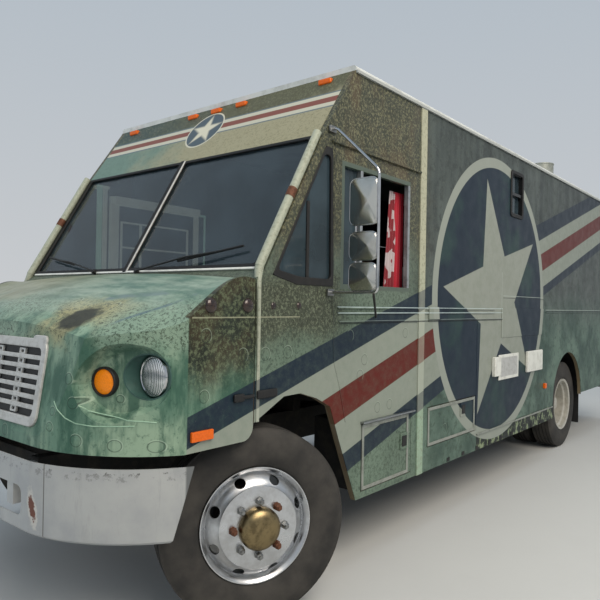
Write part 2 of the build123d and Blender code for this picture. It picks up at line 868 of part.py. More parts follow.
with BuildPart() as front_wheel:
    add(front_rim)
    add(nut_ring(disc_out))
    with BuildSketch(Plane.XY):
        with BuildLine():
            Polyline(
                (front_hub_in, 0), (front_hub_in, 84), (disc_out, 84), (disc_out + 2, hub_cap_radius),
                (disc_out + 30, hub_cap_radius), (disc_out + 52, 92), (disc_out + 62, 60), (disc_out + 66, 0),
                close=True,
            )
        make_face()
    revolve(axis=Axis.X)
    with BuildSketch(Plane.YZ.offset(front_hub_in)):
        Circle(spindle_radius + spindle_play)
    extrude(amount=spindle_seat, mode=Mode.SUBTRACT)

# The twin rear wheels meet disc to disc, with a thin paint joint between them
dual_joint = 0.3

with BuildPart() as outer_dual:
    add(Pos(disc_out, 0, 0) * outer_rim)
    add(nut_ring(disc_plate))
    with BuildSketch(Plane.XY):
        with BuildLine():
            Polyline(
                (0, 0), (0, 84), (disc_plate, 84), (disc_plate, 96), (40, 92), (150, 88), (170, 70), (176, 0),
                close=True,
            )
        make_face()
    revolve(axis=Axis.X)

with BuildPart() as inner_dual:
    add(Pos(-disc_out - dual_joint, 0, 0) * front_rim)
    with BuildSketch(Plane.XY):
        with BuildLine():
            Polyline((rear_hub_in, 0), (rear_hub_in, 84), (-dual_joint, 84), (-dual_joint, 0), close=True)
        make_face()
    revolve(axis=Axis.X)
    with BuildSketch(Plane.YZ.offset(rear_hub_in)):
        Circle(spindle_radius + spindle_play)
    extrude(amount=spindle_seat, mode=Mode.SUBTRACT)

with BuildPart() as tyre:
    with BuildSketch(Plane.XY):
        add(tyre_section.sketch)
    revolve(axis=Axis.X)

with BuildPart() as upright:
    ear_end = 80
    block((-45, -45, beam_top_z + kingpin_play), (ear_end, 45, ear_top_z))
    block((-45, -45, ear_foot_z), (ear_end, 45, boss_foot_z - kingpin_play))
    block((52, -45, ear_foot_z), (ear_end, 45, ear_top_z))
    with Locations((0, 0, hub_z)):
        Cylinder(kingpin_radius + spindle_play, 400, mode=Mode.SUBTRACT)
    # columns: radius, outer end
    for radius, end in ((drum_radius, ear_end + 100), (spindle_radius, wheel_offset + front_hub_in + spindle_seat - 2)):
        with BuildSketch(Plane.YZ.offset(ear_end)):
            with Locations((0, hub_z)):
                Circle(radius)
        extrude(amount=end - ear_end)

# columns: side name, sign of X
sides = [("left", 1), ("right", -1)]

for name, side in sides:
    turn = 0 if side > 0 else 180
    kingpin = (side * kingpin_x, front_axle_y, 0)
    steered = Pos(*kingpin) * Rot(0, 0, steer_at_rest)
    hub_place = steered * Pos(side * wheel_offset, 0, hub_z) * Rot(0, 0, turn)
    rear_place = Pos(side * dual_centre_x, rear_axle_y, hub_z) * Rot(0, 0, turn)

    with BuildPart() as wheel_piece:
        add(hub_place * front_wheel.part)
    save(wheel_piece, "front_wheel_" + name)

    with BuildPart() as tyre_piece:
        add(hub_place * tyre.part)
    save(tyre_piece, "front_tyre_" + name)

    with BuildPart() as rear_wheels:
        add(rear_place * outer_dual.part)
        add(rear_place * inner_dual.part)
    save(rear_wheels, "rear_wheels_" + name)

    with BuildPart() as rear_tyres:
        add(rear_place * Pos(disc_out, 0, 0) * tyre.part)
        add(rear_place * Pos(-disc_out, 0, 0) * tyre.part)
    save(rear_tyres, "rear_tyres_" + name)

    with BuildPart() as knuckle:
        add(steered * Rot(0, 0, turn) * upright.part)
    save(knuckle, "knuckle_" + name)

# Doors, hatch, shelf and lockers

def panel_in(opening, thickness, side):
    """Add a flush panel that fills an opening (low y, high y, low z, high z) but for its gap."""
    low_y, high_y, low_z, high_z = opening
    faces_x = sorted((side * body_half_width, side * (body_half_width - thickness)))
    block(
        (faces_x[0], low_y + door_gap, low_z + door_gap),
        (faces_x[1], high_y - door_gap, high_z - door_gap),
    )


with BuildPart() as serving_hatch:
    panel_in(serving_window, panel, -1)
save(serving_hatch, "serving_hatch")

shelf_depth = 320
shelf_top_z = serving_window[2] - 30
shelf_x = -body_half_width - 6

with BuildPart() as serving_shelf:
    block(
        (shelf_x - 20, serving_window[0], shelf_top_z - shelf_depth),
        (shelf_x, serving_window[1], shelf_top_z - 10),
    )
save(serving_shelf, "serving_shelf")

shoe = 30

with BuildPart() as cab_door:
    low_y, high_y, low_z, high_z = cab_doorway
    door_top_z = high_z + door_overlap + 10
    with BuildSketch(Plane.YZ.offset(slide_outer_x)):
        with Locations(((low_y + high_y) / 2, (low_z + 10 + door_top_z) / 2)):
            Rectangle(high_y - low_y + 2 * door_overlap, door_top_z - low_z - 10)
    extrude(amount=slide_thickness)
    for shoe_y in (low_y + 40, high_y - 40):
        block(
            (fit_gap - inner_half_width, shoe_y - shoe, high_z + 8),
            (slide_outer_x, shoe_y + shoe, door_top_z),
        )
save(cab_door, "cab_door")

with BuildPart() as rear_door_left:
    block(
        (3, body_rear_y - wall, floor_top_z + door_gap),
        (rear_door_half - door_gap, body_rear_y, rear_door_top_z - door_gap),
    )
save(rear_door_left, "rear_door_left")

with BuildPart() as rear_door_right:
    block(
        (door_gap - rear_door_half, body_rear_y - wall, floor_top_z + door_gap),
        (-3, body_rear_y, rear_door_top_z - door_gap),
    )
save(rear_door_right, "rear_door_right")

for node, opening in (("front_locker_door", front_locker), ("middle_locker_door", middle_locker)):
    with BuildPart() as locker_door:
        panel_in(opening, panel, 1)
    save(locker_door, node)

locker_depth = 330
tub = 4

with BuildPart() as locker_tubs:
    for low_y, high_y, low_z, high_z in (front_locker, middle_locker):
        block(
            (inner_half_width - locker_depth, low_y - tub, low_z - tub),
            (inner_half_width, high_y + tub, high_z + tub),
        )
        low_corner = (inner_half_width - locker_depth + tub, low_y, low_z)
        block(low_corner, (inner_half_width, high_y, high_z), mode=Mode.SUBTRACT)
save(locker_tubs, "locker_tubs")

# Mirrors: a tube loop with three heads
arm_tube = 9
arm_reach = 1555
arm_y = -2850
# columns: low z, high z
mirror_heads = [(2089, 2352), (1892, 2049), (1721, 1875)]
head_inner_x = 1362
head_outer_x = 1550
head_depth = 20



def mirror_loop(side):
    """Sweep one mirror's tube loop from the pillar out and back."""
    corners = [
        (side * body_half_width, 2663), (side * (body_half_width + 40), 2663), (side * arm_reach, 2388),
        (side * arm_reach, 1710), (side * body_half_width, 1710),
    ]
    with BuildPart() as loop_tube:
        with BuildLine(Plane.XZ.offset(-arm_y)) as route:
            FilletPolyline(*corners, radius=18)
        with BuildSketch(Plane(origin=route.line @ 0, z_dir=route.line % 0)):
            Circle(arm_tube)
        sweep(path=route.line)
    return loop_tube.part


with BuildPart() as mirrors:
    for name, side in sides:
        add(mirror_loop(side))
        for low_z, high_z in mirror_heads:
            head_at = (side * (head_inner_x + head_outer_x) / 2, (low_z + high_z) / 2)
            with BuildSketch(Plane.XZ.offset(-arm_y - head_depth)):
                with Locations(head_at):
                    RectangleRounded(head_outer_x - head_inner_x, high_z - low_z, 22)
            extrude(amount=head_depth + 6)
            with BuildSketch(Plane.XZ.offset(6 - arm_y)):
                with Locations(head_at):
                    Rectangle(head_outer_x - head_inner_x - 8, high_z - low_z - 8)
            extrude(amount=28, taper=58)
save(mirrors, "mirrors")

# Trim on the skin: posts, belt mouldings, gutters, pillar covers and the nose catches
trim = 8
# columns: low y, high y, low z, high z
side_trims = [
    (-1772, -1688, skirt_z, 3070),
    (-2760, -1772, 1615, 1627),
    (-2760, -1772, 1584, 1596),
    (-1688, serving_window[0] - 20, 1615, 1627),
    (-1688, serving_window[0] - 20, 1584, 1596),
]
gutter = (roof_front_y, body_rear_y, 3070, gutter_z)
gutter_out = 14
pillar_cover = 24
cover_lift = pillar_cover + fit_gap

with BuildPart() as body_trim:
    for name, side in sides:
        for low_y, high_y, low_z, high_z in side_trims:
            in_way = side < 0 and high_y - low_y > 500 and high_y < -1700
            if not in_way:
                skin_x = sorted((side * body_half_width, side * (body_half_width + trim)))
                block((skin_x[0], low_y, low_z), (skin_x[1], high_y, high_z))
        skin_x = sorted((side * body_half_width, side * (body_half_width + gutter_out)))
        block((skin_x[0], gutter[0], gutter[2]), (skin_x[1], gutter[1], gutter[3]))
save(body_trim, "body_trim")

with BuildPart() as pillar_covers:
    slope = Vector(0, screen_head[0] - screen_foot[0], screen_head[1] - screen_foot[1])
    ahead = Vector(0, -slope.Z, slope.Y).normalized()
    for name, side in sides:
        foot = Vector(side * (body_half_width - pillar_cover), *screen_foot) + ahead * cover_lift
        with BuildSketch(Plane(origin=foot, z_dir=slope)):
            Circle(pillar_cover)
        extrude(amount=slope.length)
save(pillar_covers, "pillar_covers")

# Roof marker lamps on the cap
marker_z = 3050
marker_size = (100, 34, 40)
cap_lean = (cap_head[0] - cap_foot[0]) / (cap_head[1] - cap_foot[1])
marker_y = cap_foot[0] + (marker_z - cap_foot[1]) * cap_lean

with BuildPart() as marker_lamps:
    for x in (-1006, -259, 0, 259, 1006):
        block((x - 50, marker_y - 34, marker_z - 20), (x + 50, marker_y + 14, marker_z + 20))
    add(front_cap.part, mode=Mode.SUBTRACT)
save(marker_lamps, "marker_lamps")

# Cab inside: dash with the steering wheel, and the driver's seat
dash_y = -3100
dash_z = (1480, 1740)
wheel_centre = (550, -2960, 1660)
wheel_tilt = 35
wheel_ring = 215

with BuildPart() as dashboard:
    block((-1150, floor_front_y, dash_z[0]), (1150, dash_y, dash_z[1]))
    fillet(dashboard.edges().filter_by(Axis.X).sort_by(Axis.Z)[-2:], 40)
    column = Vector(0, -cos(radians(wheel_tilt)), -sin(radians(wheel_tilt)))
    with BuildSketch(Plane(origin=wheel_centre, z_dir=column)):
        Circle(30)
    extrude(amount=190)
    with BuildSketch(Plane(origin=wheel_centre, z_dir=column).offset(-10)):
        Circle(wheel_ring)
        Circle(wheel_ring - 28, mode=Mode.SUBTRACT)
        with PolarLocations(0, 3):
            with Locations((wheel_ring / 2, 0)):
                Rectangle(wheel_ring - 10, 34)
    extrude(amount=24)
save(dashboard, "dashboard")

seat_x = 550
seat_y = -2360

with BuildPart() as seat_base:
    block((seat_x - 200, seat_y - 200, floor_top_z), (seat_x + 200, seat_y + 200, 1400))
    fillet(seat_base.edges().filter_by(Axis.Z), 40)
    block((seat_x - 240, seat_y - 240, 1400), (seat_x + 240, seat_y + 260, 1424))
save(seat_base, "seat_base")

with BuildPart() as seat_cushions:
    block((seat_x - 245, seat_y - 250, 1424.3), (seat_x + 245, seat_y + 200, 1540))
    fillet(seat_cushions.edges().filter_by(Axis.Z), 50)
    with BuildSketch(Plane.YZ.offset(seat_x - 235)):
        with BuildLine():
            Polyline(
                (seat_y + 210, 1440), (seat_y + 290, 2120), (seat_y + 390, 2120), (seat_y + 320, 1440), close=True
            )
        make_face()
    extrude(amount=470)
save(seat_cushions, "seat_cushions")

# Galley: the left counter with the extractor over it, and the serving counter
with BuildPart() as galley_units:
    block((640, -1250, floor_top_z), (inner_half_width, 3400, 1960))
    block((560, 400, 2350), (inner_half_width, 2300, gutter_z))
    block((-inner_half_width + 60, -350, floor_top_z), (-700, 3000, 1430))
    add(floor.part, mode=Mode.SUBTRACT)
    low_y, high_y, top_z = wheel_wells[1]
    block((-inner_half_width, low_y, floor_top_z), (inner_half_width, high_y, top_z), mode=Mode.SUBTRACT)
save(galley_units, "galley_units")

# White service boxes on the left side, one with its lid open, and the service patch
with BuildPart() as service_boxes:
    # columns: low y, high y, low z, high z, depth
    for low_y, high_y, low_z, high_z, depth in (
        (-415, -275, 1020, 1192, 35),
        (-272, 215, 975, 1205, 12),
        (425, 865, 997, 1205, 30),
        (-210, 950, 1360, 1630, 6),
    ):
        block((body_half_width, low_y, low_z), (body_half_width + depth, high_y, high_z))
save(service_boxes, "service_boxes")

fan_x = 930
fan_y = 1700

with BuildPart() as roof_fan:
    with BuildSketch(Plane.XZ):
        with BuildLine():
            Polyline((0, roof_top_z), (90, roof_top_z), (90, 3230), (140, 3230), (140, 3290), (90, 3330),
                     (0, 3335), close=True)
        make_face()
    revolve(axis=Axis.Z)
    roof_fan.part = Pos(fan_x, fan_y, 0) * roof_fan.part
save(roof_fan, "roof_fan")

with BuildPart() as tail_lamps:
    for x in (-1080, -960, 960, 1080):
        with BuildSketch(Plane.XZ.offset(-body_rear_y)):
            with Locations((x, 780)):
                Circle(52)
        extrude(amount=-22)
save(tail_lamps, "tail_lamps")

with BuildPart() as mud_flaps:
    for name, side in sides:
        flap_x = sorted((side * 600, side * 1170))
        block((flap_x[0], 2480, 210), (flap_x[1], 2488, 960))
        block((flap_x[0], 2488, 940), (flap_x[1], 2520, floor_foot_z))
save(mud_flaps, "mud_flaps")

# Wipers lying on the screen: pivot and tip as (x, share of the screen's slope)
with BuildPart() as wipers:
    screen_slope = Vector(0, screen_head[0] - screen_foot[0], screen_head[1] - screen_foot[1])
    up = screen_slope.normalized()
    out = Vector(0, -up.Z, up.Y)
    origin = Vector(0, *screen_foot)
    for pivot_x, tip_x, tip_rise in ((-335, -1050, 140), (152, 1004, 135)):
        start = origin + Vector(pivot_x, 0, 0) + out * 22
        end = origin + Vector(tip_x, 0, 0) + up * tip_rise + out * 22
        with BuildSketch(Plane(origin=start, x_dir=out, z_dir=end - start)):
            Rectangle(16, 14)
        extrude(amount=(end - start).length)
        with BuildSketch(Plane(origin=start - out * 22, z_dir=out)):
            Circle(16)
        extrude(amount=34)
    add(cab_front.part, mode=Mode.SUBTRACT)
save(wipers, "wipers")

with BuildPart() as curtain:
    block((1120, -2125, 1760), (1145, -1945, 2450))
save(curtain, "curtain")
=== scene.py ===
"""Looks of the food truck: finishes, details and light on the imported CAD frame."""

import json
import logging
import math
from dataclasses import dataclass, field
from enum import Enum
from typing import Optional, Sequence, Union

import bmesh
import bpy
from mathutils import Matrix, Vector
from mathutils.bvhtree import BVHTree

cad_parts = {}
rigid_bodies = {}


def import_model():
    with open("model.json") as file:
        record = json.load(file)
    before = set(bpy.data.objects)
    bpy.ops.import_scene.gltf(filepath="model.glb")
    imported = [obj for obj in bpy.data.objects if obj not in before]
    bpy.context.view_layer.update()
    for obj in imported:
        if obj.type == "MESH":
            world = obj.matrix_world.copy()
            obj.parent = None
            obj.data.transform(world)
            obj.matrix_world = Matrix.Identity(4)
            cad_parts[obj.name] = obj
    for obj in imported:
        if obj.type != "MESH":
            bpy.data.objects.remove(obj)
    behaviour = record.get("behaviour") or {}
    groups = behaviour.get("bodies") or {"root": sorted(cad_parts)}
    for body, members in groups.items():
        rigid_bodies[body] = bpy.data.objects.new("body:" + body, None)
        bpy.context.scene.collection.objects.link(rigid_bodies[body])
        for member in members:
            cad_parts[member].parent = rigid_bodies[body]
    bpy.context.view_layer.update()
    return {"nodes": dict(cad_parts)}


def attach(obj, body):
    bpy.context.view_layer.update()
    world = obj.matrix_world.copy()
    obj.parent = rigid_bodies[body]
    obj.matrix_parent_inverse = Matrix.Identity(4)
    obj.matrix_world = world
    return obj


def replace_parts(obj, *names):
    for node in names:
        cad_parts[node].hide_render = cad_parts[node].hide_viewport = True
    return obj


logging.basicConfig(level=logging.INFO, format="%(message)s")
log = logging.getLogger("scene")

Point = tuple[float, float, float]
Value = Union[float, bpy.types.NodeSocket]
Tint = Union[str, bpy.types.NodeSocket]

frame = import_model()

# Colours of the wrap, as seen in even light
NAVY = "#172431"
PALE_GREY = "#8b9087"
STRIPE_RED = "#56190f"
STRIPE_WHITE = "#838a80"
MINT_DARK = "#2f5144"
MINT = "#5f7d6c"
MINT_PALE = "#849a85"
BODY_DARK = "#343b3a"
BODY_GREY = "#4b5350"
BODY_GREEN = "#374b43"
BODY_GREEN_PALE = "#5d7266"
CREAM = "#98977e"
TAN = "#8e8b72"

# Sizes of the painted pattern, in metres on the side plane: y runs back, z up
STRIPE_SLOPE = 0.292
STRIPE_FROM_Y = -0.32
RING_CENTRE = (-0.313, 1.717)
RING_RADIUS = 1.25
RING_WIDTH = 0.088
STAR_RADIUS = 1.07
STAR_INNER = 0.42
STAR_ANGLE = 104.0
SIDE_X = 1.22

# Camera of the reference view: place in metres, then turns in degrees and the lens in millimetres
CAMERA_PLACE = (3.3828, -5.7378, 1.6436)
CAMERA_YAW, CAMERA_PITCH, CAMERA_ROLL = 39.465, 0.304, 0.9985
CAMERA_LENS, CAMERA_SENSOR = 37.02, 36

# Printed rivet rings: on the nose as (x, z, radius), on the sides as (y, z, radius)
NOSE_RINGS = (
    (0.81, 1.285, 0.026), (0.839, 1.177, 0.026), (0.858, 1.01, 0.028), (1.02, 0.997, 0.027),
    (1.151, 0.993, 0.026), (0.975, 1.194, 0.018), (0.707, 1.059, 0.022), (0.718, 1.13, 0.02),
    (0.45, 1.62, 0.03), (0.75, 1.6, 0.03), (0.3, 0.99, 0.028), (-0.05, 0.985, 0.028),
    (-0.4, 0.99, 0.028), (-0.81, 1.285, 0.026), (-0.839, 1.177, 0.026), (-0.858, 1.01, 0.028),
    (-1.02, 0.997, 0.027), (-1.151, 0.993, 0.026),
)
SIDE_RINGS = (
    (-3.794, 1.484, 0.032), (-3.549, 1.38, 0.034), (-3.385, 1.377, 0.034), (-3.207, 1.378, 0.034),
    (-3.80, 1.2, 0.03), (-3.64, 1.06, 0.03), (-2.459, 1.294, 0.034), (-2.507, 1.2, 0.034),
    (-2.296, 0.973, 0.034), (-2.147, 0.977, 0.034), (-2.62, 1.45, 0.034), (-1.95, 1.45, 0.034),
    (-1.32, 0.70, 0.03), (1.45, 1.35, 0.034), (2.7, 1.2, 0.034), (3.3, 1.2, 0.034), (3.9, 1.2, 0.034),
)

# Thin lines on the side, mostly painted highlights and shade lines on belts and rails, some dark joint lines:
# low y, high y, low z, high z, colour, strength
SIDE_LINES = (
    (-2.76, -0.19, 1.6225, 1.6285, "#b3c3c4", 0.7), (-2.76, -0.19, 1.5865, 1.593, "#b3c3c4", 0.7),
    (-2.735, -0.19, 1.524, 1.534, "#151b1d", 0.75), (-2.735, -0.19, 1.537, 1.541, "#98a5a2", 0.5),
    (-0.172, 0.941, 1.742, 1.747, "#a8b2aa", 0.7), (-0.172, 0.941, 1.722, 1.729, "#1b2224", 0.7),
    (1.018, 4.19, 1.613, 1.619, "#a9b5ae", 0.7), (1.018, 4.19, 1.600, 1.608, "#1b2224", 0.7),
    (-0.206, -0.199, 1.348, 1.963, "#a9b2aa", 0.6), (-3.88, -3.108, 1.566, 1.572, "#a3a48c", 0.6),
    (0.9, 0.906, 1.25, 2.0, "#20282a", 0.4), (2.3, 2.305, 0.62, 3.0, "#20282a", 0.3),
)


def linear(code: str, alpha: float = 1.0) -> tuple[float, float, float, float]:
    """Turn an sRGB hex colour into linear values.

    Args:
        code: colour as #rrggbb.
        alpha: fourth value.

    Returns:
        Red, green, blue and alpha in linear light.
    """
    parts = [int(code[i:i + 2], 16) / 255 for i in (1, 3, 5)]
    light = [c / 12.92 if c <= 0.04045 else ((c + 0.055) / 1.055) ** 2.4 for c in parts]
    return light[0], light[1], light[2], alpha


def add_node(tree: bpy.types.NodeTree, kind: str, inputs: Optional[dict] = None,
             **settings: Union[str, float, bool]) -> bpy.types.Node:
    """Add one shader node with its settings and inputs.

    Args:
        tree: node tree that gets the node.
        kind: Blender's node type.
        inputs: socket name or number to a value, hex colour or socket.
        settings: plain properties of the node.

    Returns:
        The new node.
    """
    node = tree.nodes.new(kind)
    for name, value in settings.items():
        setattr(node, name, value)
    for name, value in (inputs or {}).items():
        socket = node.inputs[name]
        if isinstance(value, bpy.types.NodeSocket):
            tree.links.new(value, socket)
        elif isinstance(value, str):
            socket.default_value = linear(value)
        else:
            socket.default_value = value
    return node


class Graph:
    """One material's node tree, written as sums over the truck's own coordinates."""

    def __init__(self, name: str) -> None:
        """Start a material that ends in one Principled shader.

        Args:
            name: the real material's name.
        """
        self.material = bpy.data.materials.new(name)
        self.material.use_nodes = True
        self.tree = self.material.node_tree
        self.tree.nodes.clear()
        self.shader = add_node(self.tree, "ShaderNodeBsdfPrincipled")
        add_node(self.tree, "ShaderNodeOutputMaterial", {0: self.shader.outputs[0]})
        self.place = add_node(self.tree, "ShaderNodeTexCoord").outputs["Object"]
        split = add_node(self.tree, "ShaderNodeSeparateXYZ", {0: self.place})
        self.x, self.y, self.z = split.outputs

    def math(self, work: str, a: Value, b: Value = 0.0) -> bpy.types.NodeSocket:
        """Combine two values.

        Args:
            work: Blender's math operation.
            a: first value.
            b: second value.

        Returns:
            The result's socket.
        """
        return add_node(self.tree, "ShaderNodeMath", {0: a, 1: b}, operation=work).outputs[0]

    def plus(self, a: Value, b: Value) -> bpy.types.NodeSocket:
        """Return a + b."""
        return self.math("ADD", a, b)

    def minus(self, a: Value, b: Value) -> bpy.types.NodeSocket:
        """Return a - b."""
        return self.math("SUBTRACT", a, b)

    def times(self, a: Value, b: Value) -> bpy.types.NodeSocket:
        """Return a * b."""
        return self.math("MULTIPLY", a, b)

    def above(self, value: Value, edge: float, soft: float = 0.002) -> bpy.types.NodeSocket:
        """Mask where a value lies above an edge.

        Args:
            value: what is compared.
            edge: height of the step.
            soft: width over which it rises.

        Returns:
            1 above the edge and 0 below it.
        """
        node = add_node(
            self.tree, "ShaderNodeMapRange",
            {"Value": value, "From Min": edge - soft / 2, "From Max": edge + soft / 2},
            interpolation_type="SMOOTHSTEP",
        )
        return node.outputs["Result"]

    def below(self, value: Value, edge: float, soft: float = 0.002) -> bpy.types.NodeSocket:
        """Return 1 where value lies below edge and 0 above it, smooth over soft."""
        return self.minus(1.0, self.above(value, edge, soft))

    def between(self, value: Value, low: float, high: float, soft: float = 0.002) -> bpy.types.NodeSocket:
        """Return 1 where value lies between low and high."""
        return self.times(self.above(value, low, soft), self.below(value, high, soft))

    def mix(self, share: Value, a: Tint, b: Tint) -> bpy.types.NodeSocket:
        """Blend colour a into colour b.

        Args:
            share: 0 for a, 1 for b.
            a: first colour.
            b: second colour.

        Returns:
            The blend's socket.
        """
        node = add_node(self.tree, "ShaderNodeMix", {0: share, 6: a, 7: b}, data_type="RGBA")
        return node.outputs[2]

    def noise(self, size_mm: float, detail: float = 4.0, rough: float = 0.55,
              stretch: Point = (1, 1, 1), offset: float = 0.0) -> bpy.types.NodeSocket:
        """Return cloudy noise whose blots are about size_mm wide.

        Args:
            size_mm: blot size in millimetres.
            detail: number of finer layers.
            rough: strength of the finer layers.
            stretch: scale along each axis, below 1 for streaks along it.
            offset: shift in metres, for a second pattern of the same size.

        Returns:
            A value from 0 to 1, mostly 0.3 to 0.7.
        """
        turn = add_node(
            self.tree, "ShaderNodeMapping",
            {"Vector": self.place, "Scale": stretch, "Location": (offset,) * 3}
        )
        node = add_node(
            self.tree, "ShaderNodeTexNoise",
            {"Vector": turn.outputs[0], "Scale": 1000 / size_mm, "Detail": detail, "Roughness": rough},
        )
        return node.outputs["Fac"]

    def bump(self, height: Value, depth_mm: float, strength: float = 1.0) -> None:
        """Raise the surface's shading.

        Args:
            height: the pattern, from 0 to 1.
            depth_mm: how deep it goes, in millimetres.
            strength: share of it that shows.
        """
        node = add_node(
            self.tree, "ShaderNodeBump", {"Height": height, "Distance": depth_mm / 1000, "Strength": strength}
        )
        self.tree.links.new(node.outputs[0], self.shader.inputs["Normal"])

    def set(self, **inputs: Union[Value, Tint]) -> None:
        """Set the shader's inputs.

        Args:
            inputs: values, colours or sockets by the input's name, with _ for a space.
        """
        for name, value in inputs.items():
            socket = self.shader.inputs[name.replace("_", " ")]
            if isinstance(value, bpy.types.NodeSocket):
                self.tree.links.new(value, socket)
            elif isinstance(value, str):
                socket.default_value = linear(value)
            else:
                socket.default_value = value


class Zone(Enum):
    """Where on the truck a painted piece lies."""

    SIDE = "side"
    NOSE = "nose"
    CAP = "cap"
    TRIM = "trim"


@dataclass(frozen=True)
class Band:
    """One slanted stripe between two heights at STRIPE_FROM_Y."""

    low: float
    high: float
    colour: str


AHEAD = (
    Band(1.296, 1.425, NAVY), Band(1.425, 1.64, STRIPE_WHITE), Band(1.64, 1.83, STRIPE_RED),
    Band(1.83, 2.016, STRIPE_WHITE), Band(2.016, 2.162, NAVY),
)
BEHIND = (
    Band(1.40, 1.50, NAVY), Band(1.50, 1.673, STRIPE_WHITE), Band(1.673, 1.86, STRIPE_RED),
    Band(1.86, 2.013, STRIPE_WHITE), Band(2.013, 2.19, NAVY),
)


